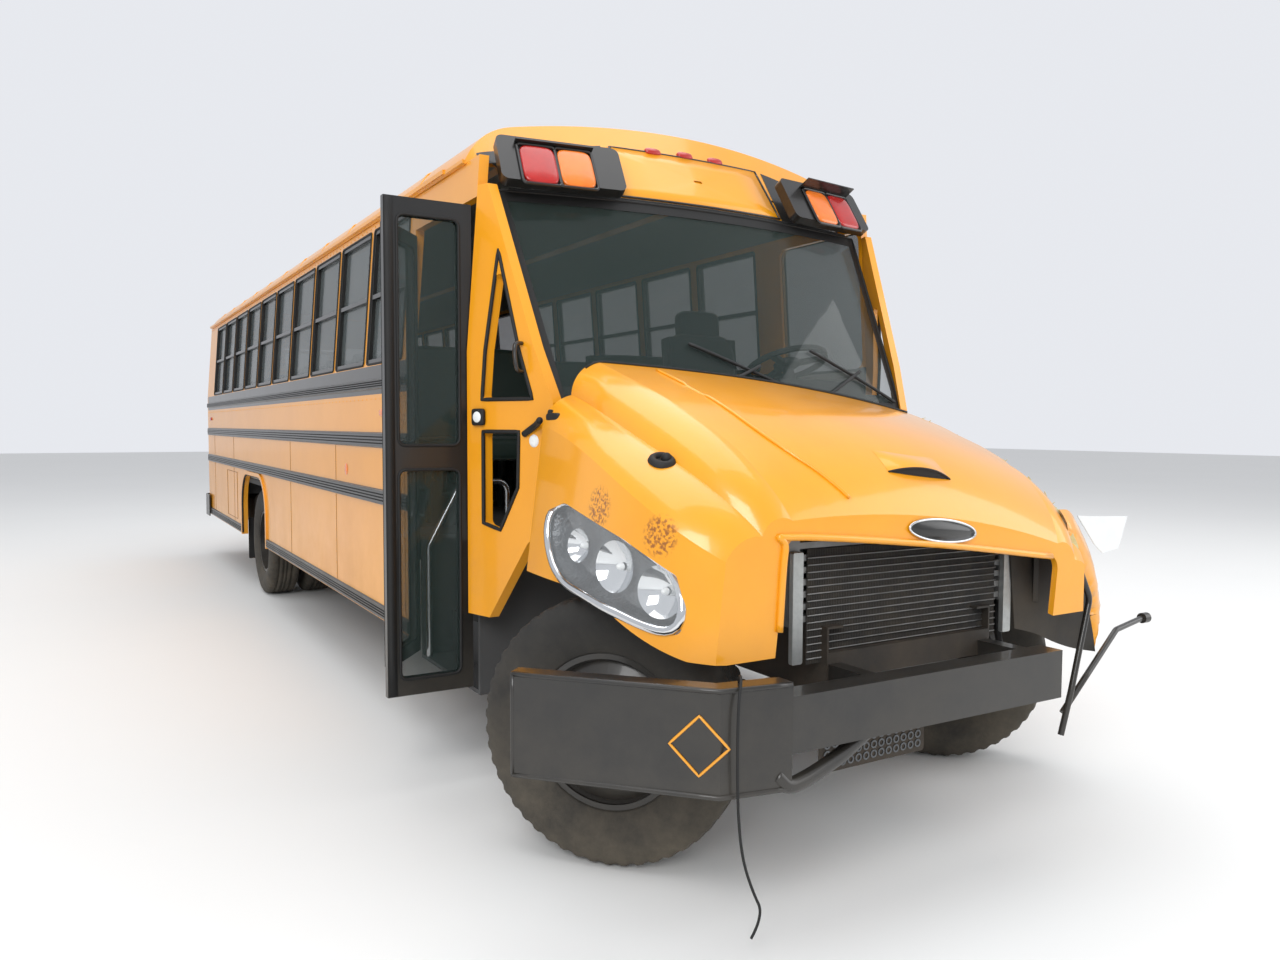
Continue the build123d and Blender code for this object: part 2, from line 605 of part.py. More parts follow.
# Rub rails: ribbed black strips along both sides, cut away at the wheel arches
with BuildPart() as rub_rails:
    for side in SIDES.values():
        front_y = DOOR_REAR_Y if side < 0 else DOOR_FRONT_Y
        with BuildSketch(across(front_y)):
            for low_z, high_z in RAIL_BANDS:
                with BuildLine():
                    Polyline((side * HALF_WIDTH, low_z), (side * (HALF_WIDTH + RAIL_PROUD), low_z + 10),
                             (side * (HALF_WIDTH + RAIL_PROUD), high_z - 10), (side * HALF_WIDTH, high_z), close=True)
                make_face()
        extrude(amount=-(BODY_REAR_Y - front_y))
    with BuildSketch(along(0)):
        with Locations((WHEELBASE, 600)):
            Rectangle(ARCH_WIDTH + 80, 1152)
    extrude(amount=HALF_WIDTH + 80, both=True, mode=Mode.SUBTRACT)
write(rub_rails.part, "rub_rails")

# Bench seats: (side, first bench y, benches in the row)
BENCH_ROWS = ((-1, 2360, 10), (1, 2360, 10))
BENCH_INNER_X, BENCH_OUTER_X = 190, 1130
BENCH_PROFILE = ((0, 1440), (0, 1545), (390, 1530), (455, 2090), (525, 2085), (480, 1440))
with BuildPart() as bench_seats:
    for side, first_y, benches in BENCH_ROWS:
        with BuildSketch(along(side * BENCH_INNER_X)):
            for row in range(benches):
                bench_y = first_y + row * WINDOW_PITCH - 480
                with BuildLine():
                    Polyline(*[(bench_y + y, z) for y, z in BENCH_PROFILE], close=True)
                make_face()
        extrude(amount=side * (BENCH_OUTER_X - BENCH_INNER_X))
        for leg_x in (280, 1020):
            with BuildSketch(along(side * leg_x)):
                with Locations(*[(first_y + row * WINDOW_PITCH - 480 + 240, (FLOOR_Z + 1440) / 2)
                                 for row in range(benches)]):
                    Rectangle(360, 1440 - FLOOR_Z)
                    Rectangle(300, 1440 - FLOOR_Z - 60, mode=Mode.SUBTRACT)
            extrude(amount=side * 30)
write(bench_seats.part, "bench_seats")

# Driver's seat on its pedestal
DRIVER_X = 560
with BuildPart() as driver_seat:
    with BuildSketch(along(DRIVER_X - 240)):
        with BuildLine():
            Polyline((1130, 1470), (1120, 1570), (1520, 1560), (1590, 2160), (1680, 2150), (1610, 1470), close=True)
        make_face()
    extrude(amount=480)
    with BuildSketch(Plane.XY.offset(FLOOR_Z)):
        with Locations((DRIVER_X, 1370)):
            RectangleRounded(300, 320, 40)
    extrude(amount=1470 - FLOOR_Z)
write(driver_seat.part, "driver_seat")

# Steering wheel on its column
WHEEL_Y, WHEEL_Z = 800, 1960
COLUMN_FOOT = (DRIVER_X, 662, 1620)
COLUMN_DIR = Vector(0, WHEEL_Y - 662, WHEEL_Z - 1620)
with BuildPart() as steering_wheel:
    column_plane = Plane(origin=COLUMN_FOOT, x_dir=(1, 0, 0), z_dir=COLUMN_DIR)
    with BuildSketch(column_plane):
        Circle(30)
    extrude(amount=COLUMN_DIR.length)
    with BuildSketch(column_plane.offset(COLUMN_DIR.length - 12)):
        Circle(220)
        Circle(195, mode=Mode.SUBTRACT)
        Circle(70)
        with PolarLocations(0, 3, start_angle=90):
            with Locations((110, 0)):
                Rectangle(190, 34)
    extrude(amount=24)
write(steering_wheel.part, "steering_wheel")

# Dashboard: a deep hood in front of the driver, lower towards the door
with BuildPart() as dashboard:
    with BuildSketch(along(-1000)):
        with BuildLine():
            Polyline((452, 1420), (452, 1760), (520, 1800), (640, 1760), (660, 1560), (600, 1420), close=True)
        make_face()
    extrude(amount=2000)
    with BuildSketch(along(DRIVER_X - 260)):
        with BuildLine():
            Polyline((470, 1770), (540, 1870), (640, 1860), (650, 1700), close=True)
        make_face()
    extrude(amount=520)
    add(steering_wheel.part, mode=Mode.SUBTRACT)
write(dashboard.part, "dashboard")

# Handrail at the rear of the step well
with BuildPart() as handrail:
    with BuildLine() as rail_path:
        FilletPolyline((-1140, 1620, 420), (-1140, 1620, 1000), (-960, 1620, 1330), (-700, 1620, 1330),
                       (-700, 1620, FLOOR_Z), radius=60)
    with BuildSketch(Plane(origin=(-1140, 1620, 420), z_dir=(0, 0, 1))):
        Circle(16)
    sweep()
write(handrail.part, "handrail")

# Front bumper: its right end is bent out, the left of its face is gone and the beam shows
BUMPER_LOW_Z, BUMPER_HIGH_Z = 510, 850
with BuildPart() as front_bumper:
    with BuildSketch(Plane.XY.offset(BUMPER_LOW_Z)):
        with BuildLine():
            Polyline((-1560, -430), (-1100, -930), (-860, -975), (-860, -960), (-1092, -915), (-1548, -420),
                     close=True)
        make_face()
    extrude(amount=BUMPER_HIGH_Z - BUMPER_LOW_Z)
    with BuildSketch(Plane.XY.offset(BUMPER_HIGH_Z - 14)):
        with BuildLine():
            Polyline((-1560, -430), (-1100, -930), (-860, -975), (-860, -905), (-1070, -865), (-1512, -388),
                     close=True)
        make_face()
    extrude(amount=14)
    with BuildSketch(Plane.XY.offset(BUMPER_LOW_Z)):
        with BuildLine():
            Polyline((-1560, -430), (-1100, -930), (-860, -975), (-860, -905), (-1070, -865), (-1512, -388),
                     close=True)
        make_face()
    extrude(amount=14)
    with BuildSketch(Plane.XY.offset(620)):
        with BuildLine():
            Polyline((-1080, -920), (-860, -966), (430, -985), (430, -890), (-860, -870), (-1040, -850), close=True)
        make_face()
    extrude(amount=180)
    with BuildSketch(Plane.XY.offset(RAIL_LOW_Z)):
        with Locations((SPRING_X, -770), (-SPRING_X, -770)):
            Rectangle(60, 240)
    extrude(amount=120)
write(front_bumper.part, "front_bumper")


def lamp_plane(side, x):
    """The plane of a front warning lamp's foot, on the housing's leaning face."""
    front = housing_plane(side).offset(50)
    return front.shift_origin(front.from_local_coords((side * (x - HOUSING_X), 0, 0)))


# Lamps: red outboard and amber inboard, at the front and at the rear
REAR_LAMP_Z = 2800
for name, x in zip(("red_lamps", "amber_lamps"), LAMP_X):
    with BuildPart() as lamps:
        for side in SIDES.values():
            with BuildSketch(lamp_plane(side, x)):
                RectangleRounded(205, 180, 30)
            extrude(amount=24, taper=12)
        rear_sides = [(side * (x - 100), REAR_LAMP_Z) for side in SIDES.values()]
        with BuildSketch(across(REAR_FACE_Y)):
            with Locations(*rear_sides):
                RectangleRounded(190, 170, 30)
        extrude(amount=-24, taper=12)
        if name == "red_lamps":
            with BuildSketch(across(REAR_FACE_Y)):
                with Locations((-1000, 1560), (1000, 1560)):
                    RectangleRounded(180, 180, 40)
            extrude(amount=-20, taper=12)
    write(lamps.part, name)

# Roof hatches: low lids on raised rims
HATCH_Y = (3400, 7200)
with BuildPart() as roof_hatches:
    for hatch_y in HATCH_Y:
        with BuildSketch(Plane.XY.offset(CROWN_Z - 30)):
            with Locations((0, hatch_y)):
                RectangleRounded(600, 600, 60)
        extrude(amount=55)
        with BuildSketch(Plane.XY.offset(CROWN_Z + 25)):
            with Locations((0, hatch_y)):
                RectangleRounded(660, 660, 70)
        extrude(amount=22, taper=30)
    add(roof.part, mode=Mode.SUBTRACT)
    add(body_section(CAP_REAR_Y, WALL, GUTTER_Z))
    extrude(amount=-(BODY_REAR_Y - CAP_REAR_Y), mode=Mode.SUBTRACT)
write(roof_hatches.part, "roof_hatches")

# Hood: sections across it, from the windshield to the lip over the grille opening
HOOD = Plane(origin=(0, 0, HOOD_Z), x_dir=(cos(radians(HOOD_ROLL)), 0, -sin(radians(HOOD_ROLL))),
             z_dir=(sin(radians(HOOD_ROLL)), 0, cos(radians(HOOD_ROLL))))
# Columns: y, centre z, shoulder x and z, waist x and z, side x and z, all above the level floor
HOOD_STATIONS = (
    (340, 1862, 950, 1812, 1040, 1650, 1140, 1505),
    (40, 1780, 925, 1720, 1040, 1575, 1160, 1450),
    (-300, 1668, 865, 1595, 1010, 1455, 1160, 1335),
    (-580, 1515, 790, 1440, 935, 1330, 1105, 1205),
    (-760, 1300, 700, 1240, 820, 1180, 955, 1090),
)


def hood_section(station, inset, low_z):
    """One section of the hood, inset by its shell: crown, shoulder roll, waist and fender top."""
    y, top_z, shoulder_x, shoulder_z, waist_x, waist_z, side_x, side_z = station
    top_z, shoulder_z, waist_z, side_z = [z - HOOD_Z - inset for z in (top_z, shoulder_z, waist_z, side_z)]
    shoulder_x, waist_x, side_x = shoulder_x - inset, waist_x - inset, side_x - inset
    plane = Plane(origin=HOOD.from_local_coords((0, y, 0)), x_dir=HOOD.x_dir, z_dir=-HOOD.y_dir)
    with BuildSketch(plane) as section:
        with BuildLine():
            for side in (1, -1):
                ThreePointArc((side * shoulder_x, shoulder_z),
                              (side * (0.45 * shoulder_x + 0.55 * waist_x + 14), (shoulder_z + waist_z) / 2 + 24),
                              (side * waist_x, waist_z))
                ThreePointArc((side * waist_x, waist_z),
                              (side * ((waist_x + side_x) / 2 + 16), (waist_z + side_z) / 2 + 20),
                              (side * side_x, side_z))
                Line((side * side_x, side_z), (side * side_x, low_z - HOOD_Z))
            ThreePointArc((shoulder_x, shoulder_z), (0, top_z), (-shoulder_x, shoulder_z))
            Line((side_x, low_z - HOOD_Z), (-side_x, low_z - HOOD_Z))
        make_face()
    return section.sketch.faces()[0]


with BuildPart() as hood_outer:
    loft(sections=[hood_section(station, 0, 760) for station in HOOD_STATIONS])
with BuildPart() as hood_inner:
    inner_stations = [(HOOD_STATIONS[0][0] + 60, *HOOD_STATIONS[0][1:]), *HOOD_STATIONS[1:-1],
                      (HOOD_STATIONS[-1][0] + HOOD_SHELL, *HOOD_STATIONS[-1][1:])]
    loft(sections=[hood_section(station, HOOD_SHELL, 700) for station in inner_stations])

# The headlamp's outline, seen square to the corner it stands on: (across, up)
LAMP_PLANE = Plane(origin=(-1370, -700, 1150), x_dir=(0.866, -0.5, 0), z_dir=(-0.5, -0.866, 0))
LAMP_OUTLINE = ((-240, 150), (-165, 192), (55, 100), (228, 0), (258, -105), (240, -185), (205, -192), (0, -142),
                (-165, -98), (-236, -30))
with BuildPart() as lamp_zone:
    with BuildSketch(LAMP_PLANE):
        with BuildLine():
            FilletPolyline(*LAMP_OUTLINE, radius=22, close=True)
        make_face()
    extrude(amount=-1000)

# What is torn off the hood's left side, in plan
TORN_EDGE = ((1000, 420), (930, 330), (985, 120), (905, -60), (960, -240), (880, -380), (935, -520), (850, -640),
             (905, -720), (840, -820), (1500, -820), (1500, 420))
FENDER_EDGE = ((560, 600), (560, 1045), (-260, 1045), (-700, 880), (-830, 850), (-830, 600))
GRILLE_HALF, GRILLE_TOP_Z = 715, 1190
with BuildPart() as hood:
    add(hood_outer.part)
    add(hood_inner.part, mode=Mode.SUBTRACT)
    add(lamp_zone.part, mode=Mode.SUBTRACT)
    with BuildSketch(along(-1400)):
        with BuildLine():
            Polyline(*FENDER_EDGE, close=True)
        make_face()
    extrude(amount=2800, mode=Mode.SUBTRACT)
    with BuildSketch(Plane(origin=HOOD.from_local_coords((0, -900, 0)), x_dir=HOOD.x_dir, z_dir=-HOOD.y_dir)):
        with Locations((0, GRILLE_TOP_Z - HOOD_Z - 400)):
            RectangleRounded(2 * GRILLE_HALF, 800, 60)
    extrude(amount=-250, mode=Mode.SUBTRACT)
    with BuildSketch(Plane.XY.offset(500)):
        with BuildLine():
            Polyline(*TORN_EDGE, close=True)
        make_face()
    extrude(amount=1500, mode=Mode.SUBTRACT)
    with BuildSketch(Plane.XY.offset(500)):
        with BuildLine():
            ThreePointArc((-1300, 350), (0, 195), (1300, 350))
            Polyline((1300, 350), (1300, 700), (-1300, 700), (-1300, 350))
        make_face()
    extrude(amount=1600, mode=Mode.SUBTRACT)
write(hood.part, "hood")
with BuildPart() as headlamp:
    add(hood_outer.part)
    add(lamp_zone.part, mode=Mode.INTERSECT)
    with BuildPart(mode=Mode.PRIVATE) as lamp_back:
        loft(sections=[hood_section(station, 70, 700) for station in inner_stations])
    add(lamp_back.part, mode=Mode.SUBTRACT)
write(headlamp.part, "headlamp")

# Inner liner of the hood, showing where the left fender is gone, and the lamp bucket's bare plate
with BuildPart() as hood_liner:
    with BuildSketch(Plane.XY.offset(1035)):
        with BuildLine():
            Polyline((700, -650), (790, -540), (850, -300), (870, -300), (808, -548), (714, -664), close=True)
        make_face()
    extrude(amount=200)
    with BuildSketch(Plane.XY.offset(905)):
        with BuildLine():
            Polyline((700, -650), (790, -540), (806, -476), (825, -480), (808, -548), (714, -664), close=True)
        make_face()
    extrude(amount=130)
write(hood_liner.part, "hood_liner")

# Mirror arm: bent tubes hanging from the torn left side
ARM_R = 13
ARM_RUNS = (
    ((900, -700, 1090), (1010, -700, 900), (880, -715, 520), (840, -700, 330)),
    ((860, -690, 420), (1000, -700, 560), (1300, -640, 720), (1560, -600, 740)),
)
with BuildPart() as mirror_arm:
    for run in ARM_RUNS:
        with BuildLine() as arm_line:
            FilletPolyline(*run, radius=60)
        with BuildSketch(Plane(origin=run[0], z_dir=arm_line.line % 0)):
            Circle(ARM_R)
        sweep(path=arm_line.line)
    with BuildSketch(Plane(origin=ARM_RUNS[1][-1], z_dir=(1, 0, 0))):
        Circle(24)
    extrude(amount=40)
    add(hood.part, mode=Mode.SUBTRACT)
write(mirror_arm.part, "mirror_arm")


def leaf_pieces(origin, direction):
    """One door leaf on its hinge line: (frame, glass), standing along a level direction."""
    plane = Plane(origin=(*origin, 0), x_dir=(*direction, 0), z_dir=(-direction[1], direction[0], 0))
    up = 1 if plane.y_dir.Z > 0 else -1
    mid_x = 10 + LEAF_WIDTH / 2
    panes = ((LEAF_LOW_Z + 70, 1440), (1540, LEAF_HIGH_Z - 70))
    with BuildPart() as frame:
        with BuildSketch(plane):
            with Locations((mid_x, up * (LEAF_LOW_Z + LEAF_HIGH_Z) / 2)):
                Rectangle(LEAF_WIDTH, LEAF_HIGH_Z - LEAF_LOW_Z)
            for low_z, high_z in panes:
                with Locations((mid_x, up * (low_z + high_z) / 2)):
                    RectangleRounded(LEAF_WIDTH - 110, high_z - low_z, 30, mode=Mode.SUBTRACT)
        extrude(amount=LEAF_THICK / 2, both=True)
    with BuildPart() as glass:
        with BuildSketch(plane):
            for low_z, high_z in panes:
                with Locations((mid_x, up * (low_z + high_z) / 2)):
                    RectangleRounded(LEAF_WIDTH - 110, high_z - low_z, 30)
        extrude(amount=GLASS / 2, both=True)
    return frame.part, glass.part


# Entry door: the front leaf stands straight out, the rear one part open
leaf_angle = radians(REAR_LEAF_OPEN)
LEAVES = {
    "front": ((-HINGE_X, FRONT_HINGE_Y), (-1, 0)),
    "rear": ((-HINGE_X, REAR_HINGE_Y), (-sin(leaf_angle), -cos(leaf_angle))),
}
for name, (origin, direction) in LEAVES.items():
    frame_part, glass_part = leaf_pieces(origin, direction)
    write(frame_part, f"door_leaf_{name}")
    write(glass_part, f"door_glass_{name}")

# Emergency door in the rear wall, with its pane
DOOR_GAP = 8
with BuildPart() as rear_door:
    with BuildSketch(across(REAR_FACE_Y - WALL)):
        with Locations((0, (REAR_DOOR_LOW_Z + REAR_DOOR_HIGH_Z) / 2)):
            Rectangle(2 * (REAR_DOOR_HALF - DOOR_GAP), REAR_DOOR_HIGH_Z - REAR_DOOR_LOW_Z - 2 * DOOR_GAP)
        with Locations((0, REAR_WINDOW[1])):
            RectangleRounded(560, 460, 50, mode=Mode.SUBTRACT)
        with Locations((0, 1620)):
            RectangleRounded(560, 560, 50, mode=Mode.SUBTRACT)
    extrude(amount=-WALL)
    with BuildSketch(across(REAR_FACE_Y)):
        with Locations((250, 1290)):
            RectangleRounded(130, 30, 10)
    extrude(amount=-30)
write(rear_door.part, "rear_door")
with BuildPart() as rear_door_glass:
    with BuildSketch(across(REAR_FACE_Y - 20)):
        with Locations((0, REAR_WINDOW[1])):
            RectangleRounded(560, 460, 50)
        with Locations((0, 1620)):
            RectangleRounded(560, 560, 50)
    extrude(amount=-GLASS)
write(rear_door_glass.part, "rear_door_glass")

# Stop arm folded against the left side, and the bracket that carries it
STOP_Y, STOP_Z, STOP_R = 1490, 1700, 225
STOP_PIN_X, STOP_PIN_Y = 1262, 1225
with BuildPart() as stop_arm:
    with BuildSketch(along(STOP_PIN_X - 9)):
        with Locations((STOP_Y, STOP_Z)):
            RegularPolygon(STOP_R, 8, major_radius=False, rotation=22.5)
        with Locations((STOP_PIN_Y + 30, STOP_Z)):
            Rectangle(60, 130)
    extrude(amount=18)
write(stop_arm.part, "stop_arm")
with BuildPart() as stop_bracket:
    with BuildSketch(along(HALF_WIDTH)):
        with Locations((STOP_PIN_Y - 45, STOP_Z)):
            RectangleRounded(70, 180, 12)
    extrude(amount=50)
write(stop_bracket.part, "stop_bracket")


def knuckle_plane(side, steer):
    """A plane through a wheel's axis: sketch x runs outboard, sketch y is up."""
    turn = radians(steer)
    outboard = (side * cos(turn), side * sin(turn), 0)
    return Plane(origin=(side * KINGPIN_X, 0, AXLE_Z), x_dir=outboard, z_dir=(outboard[1], -outboard[0], 0))


# Steering knuckles: yoke and pin round the axle's eye, stub axle and steering arm
SPINDLE_R = 38
ARM_Z = 415
for name, side in SIDES.items():
    plane = knuckle_plane(side, REST_STEER)
    axis_dir = plane.x_dir
    arm_dir = Vector(-sin(radians(REST_STEER)), cos(radians(REST_STEER)), 0)
    ball = Vector(side * KINGPIN_X, 0, ARM_Z) + arm_dir * ARM_LENGTH
    with BuildPart() as knuckle:
        with BuildSketch(Plane.XY.offset(405)):
            with Locations((side * KINGPIN_X, 0)):
                Circle(KINGPIN_R)
        extrude(amount=200)
        for low_z in (EYE_LOW_Z - 45, EYE_HIGH_Z + 8):
            with BuildSketch(Plane(origin=(side * KINGPIN_X, 0, low_z), x_dir=axis_dir, z_dir=(0, 0, 1))):
                Circle(50)
                with Locations((45, 0)):
                    Rectangle(90, 90)
            extrude(amount=37)
        with BuildSketch(Plane(origin=(side * KINGPIN_X, 0, EYE_LOW_Z - 45), x_dir=axis_dir, z_dir=(0, 0, 1))):
            with Locations((75, 0)):
                Rectangle(34, 110)
        extrude(amount=EYE_HIGH_Z - EYE_LOW_Z + 90)
        with BuildSketch(Plane(origin=plane.from_local_coords((90, 0, 0)), x_dir=(0, 0, 1), z_dir=axis_dir)):
            Circle(SPINDLE_R)
        extrude(amount=190)
        with BuildSketch(Plane(origin=(side * KINGPIN_X, 0, ARM_Z), x_dir=(arm_dir.X, arm_dir.Y, 0),
                               z_dir=(0, 0, 1))):
            with Locations((ARM_LENGTH / 2, 0)):
                SlotCenterToCenter(ARM_LENGTH, 50)
        extrude(amount=24)
        with BuildSketch(Plane(origin=(ball.X, ball.Y, ARM_Z - 40), z_dir=(0, 0, 1))):
            Circle(10)
        extrude(amount=42)
    write(knuckle.part, f"knuckle_{name}")

# Tie rod: a tube between the two arms' balls, with an eye round each
with BuildPart() as tie_rod:
    balls = [Vector(side * KINGPIN_X - ARM_LENGTH * sin(radians(REST_STEER)),
                    ARM_LENGTH * cos(radians(REST_STEER)), ARM_Z - 22) for side in (-1, 1)]
    with BuildSketch(Plane(origin=balls[0], x_dir=(0, 1, 0), z_dir=(1, 0, 0))):
        Circle(14)
    extrude(amount=2 * KINGPIN_X)
    with BuildSketch(Plane.XY.offset(ARM_Z - 38)):
        with Locations(*[(ball.X, ball.Y) for ball in balls]):
            Circle(28)
    extrude(amount=32)
    with BuildSketch(Plane.XY.offset(ARM_Z - 60)):
        with Locations(*[(ball.X, ball.Y) for ball in balls]):
            Circle(11)
    extrude(amount=60, mode=Mode.SUBTRACT)
write(tie_rod.part, "tie_rod")

# Half profile of a tyre, from the bead to the tread: (across, radius)
TYRE_PROFILE = ((105, RIM_R), (129, 345), (TYRE_HALF, 400), (136, 448), (122, 482), (108, 497), (50, TYRE_R))


def tyre_ring(plane, centre):
    """A tyre: rounded shoulders and sidewalls about the plane's x axis."""
    outer = [(centre + across, radius) for across, radius in TYRE_PROFILE]
    inner = [(centre - across, radius) for across, radius in reversed(TYRE_PROFILE)]
    with BuildSketch(plane) as profile:
        with BuildLine():
            Polyline(*outer, *inner, close=True)
        make_face()
    return profile.sketch.faces()[0]


# Half profiles of the wheels, (outboard, radius): the front disc is dished outward, the rear ones inward
FRONT_RIM = ((65, 292), (65, 268), (90, 262), (225, 250), (276, 180), (280, 150), (200, 150), (200, 205),
             (120, 205), (120, 60), (150, 60), (150, 45), (290, 45), (290, 0), (335, 0), (335, 70), (305, 84),
             (305, 178), (292, 190), (250, 262), (262, 272), (275, 272), (275, 292))
FRONT_STUD_X = 305
STUD_CIRCLE_R = 143
REAR_RIM = ((-275, 292), (-275, 270), (-30, 256), (-30, 60), (185, 60), (185, 110), (10, 130), (10, 256),
            (275, 270), (275, 292), (65, 292), (65, 276), (-65, 276), (-65, 292))
WHEEL_AXES = {
    "front_right": knuckle_plane(-1, REST_STEER), "front_left": knuckle_plane(1, REST_STEER),
}
for name, plane in WHEEL_AXES.items():
    wheel_axis = Axis(plane.origin, plane.x_dir)
    with BuildPart() as tyre:
        revolve(tyre_ring(plane, TYRE_OFFSET), axis=wheel_axis)
    write(tyre.part, f"tyre_{name}")
    with BuildPart() as rim:
        with BuildSketch(plane):
            with BuildLine():
                Polyline(*FRONT_RIM, close=True)
            make_face()
        revolve(axis=wheel_axis)
        with BuildSketch(Plane(origin=plane.from_local_coords((FRONT_STUD_X - 6, 0, 0)), x_dir=(0, 0, 1),
                               z_dir=plane.x_dir)):
            with PolarLocations(STUD_CIRCLE_R, 10):
                RegularPolygon(17, 6)
        extrude(amount=32)
    write(rim.part, f"rim_{name}")
for name, side in SIDES.items():
    plane = Plane(origin=(side * DUAL_DISC_X, WHEELBASE, AXLE_Z), x_dir=(side, 0, 0), z_dir=(0, -side, 0))
    wheel_axis = Axis(plane.origin, plane.x_dir)
    with BuildPart() as tyres:
        for centre in (DUAL_OUTER_X - DUAL_DISC_X, DUAL_INNER_X - DUAL_DISC_X):
            revolve(tyre_ring(plane, centre), axis=wheel_axis)
    write(tyres.part, f"tyres_rear_{name}")
    with BuildPart() as rims:
        with BuildSketch(plane):
            with BuildLine():
                Polyline(*REAR_RIM, close=True)
            make_face()
        revolve(axis=wheel_axis)
        with BuildSketch(Plane(origin=plane.from_local_coords((10, 0, 0)), x_dir=(0, 0, 1), z_dir=plane.x_dir)):
            with PolarLocations(STUD_CIRCLE_R + 10, 10):
                RegularPolygon(17, 6)
        extrude(amount=30)
    write(rims.part, f"rims_rear_{name}")
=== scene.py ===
"""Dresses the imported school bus: finishes, tyres, lamps, seats, glass edges and the damaged corner.

Sizes are written in millimetres in the drawing's frame (x to the bus's left, y to the rear,
z up, front axle at y = 0) and moved to the part's own frame by row().
"""

import logging
from dataclasses import dataclass
from enum import Enum
from typing import Sequence

import bpy
import numpy as np
from mathutils import Matrix, Vector
from mathutils.bvhtree import BVHTree

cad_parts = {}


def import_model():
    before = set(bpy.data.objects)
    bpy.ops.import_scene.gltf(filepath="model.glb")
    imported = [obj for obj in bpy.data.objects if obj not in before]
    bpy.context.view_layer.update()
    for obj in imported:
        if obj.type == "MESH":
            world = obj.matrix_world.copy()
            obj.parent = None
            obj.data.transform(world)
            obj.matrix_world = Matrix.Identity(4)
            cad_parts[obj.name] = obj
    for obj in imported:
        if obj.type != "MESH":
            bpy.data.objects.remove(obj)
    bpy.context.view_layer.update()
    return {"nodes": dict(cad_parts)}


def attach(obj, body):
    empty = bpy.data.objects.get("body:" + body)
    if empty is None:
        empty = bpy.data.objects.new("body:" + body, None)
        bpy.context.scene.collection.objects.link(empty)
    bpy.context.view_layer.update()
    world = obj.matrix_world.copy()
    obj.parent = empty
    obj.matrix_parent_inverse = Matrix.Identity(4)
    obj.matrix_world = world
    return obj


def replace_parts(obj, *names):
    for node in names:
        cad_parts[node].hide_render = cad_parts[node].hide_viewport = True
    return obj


LOG = logging.getLogger("school_bus")
ORIGIN = np.array((7.5, 4555.0, 0.0))
WHEELBASE = 6579.0
AXLE_Z = 505.0
KINGPIN_X = 860.0
REST_STEER = np.radians(40)
HALF_WIDTH = 1220.0
BELT_Z = 1955.0
REAR_FACE_Y = 9995.0
DOOR_FRONT_Y, COWL_TAPER = 840.0, 0.43
HOOD_LEAN = np.radians(6.5)
BUMPER_LOW_Z, BUMPER_HIGH_Z = 519, 842
BENCH_X, FIRST_BENCH_Y = 660, 1880.0
WINDOW_PITCH, PILLAR_Y, WINDOW_COUNT = 755.0, 1769.0, 10
BODY = "bus"
Points = np.ndarray


def row(points: Sequence) -> Points:
    """Moves drawing points to the part's frame.

    Args:
        points: millimetres, shape (..., 3).
    Returns:
        Metres in the row frame, same shape.
    """
    return (np.asarray(points, float) - ORIGIN) / 1000.0


def linear(code: str) -> tuple[float, float, float, float]:
    """Turns an sRGB hex value to linear colour.

    Args:
        code: six hex digits.
    Returns:
        Red, green, blue and alpha 1, linear.
    """
    srgb = np.array([int(code[i:i + 2], 16) for i in (0, 2, 4)]) / 255.0
    lin = np.where(srgb <= 0.04045, srgb / 12.92, ((srgb + 0.055) / 1.055) ** 2.4)
    return (*lin.tolist(), 1.0)


def add_node(tree: bpy.types.NodeTree, kind: str, settings: dict | None = None,
             inputs: dict | None = None) -> bpy.types.Node:
    """Adds a shader node with its settings and links.

    Args:
        tree: the material's node tree.
        kind: Blender's node type.
        settings: attribute name to value.
        inputs: socket name or index to a value or to another node's output.
    Returns:
        The new node.
    """
    made = tree.nodes.new(kind)
    for key, value in (settings or {}).items():
        setattr(made, key, value)
    for key, value in (inputs or {}).items():
        if isinstance(value, bpy.types.NodeSocket):
            tree.links.new(value, made.inputs[key])
        else:
            made.inputs[key].default_value = value
    return made


class Wear(Enum):
    """How a surface has aged."""
    CLEAN = 0.0
    DUSTY = 0.35
    ROAD_DIRT = 0.75


@dataclass(frozen=True)
class Spot:
    """A stain on a surface: its centre in the row frame, radius in metres and hex colour."""
    centre: tuple[float, float, float]
    radius: float
    colour: str


@dataclass(frozen=True)
class Band:
    """A painted stripe between two heights, in metres."""
    low: float
    high: float
    colour: str


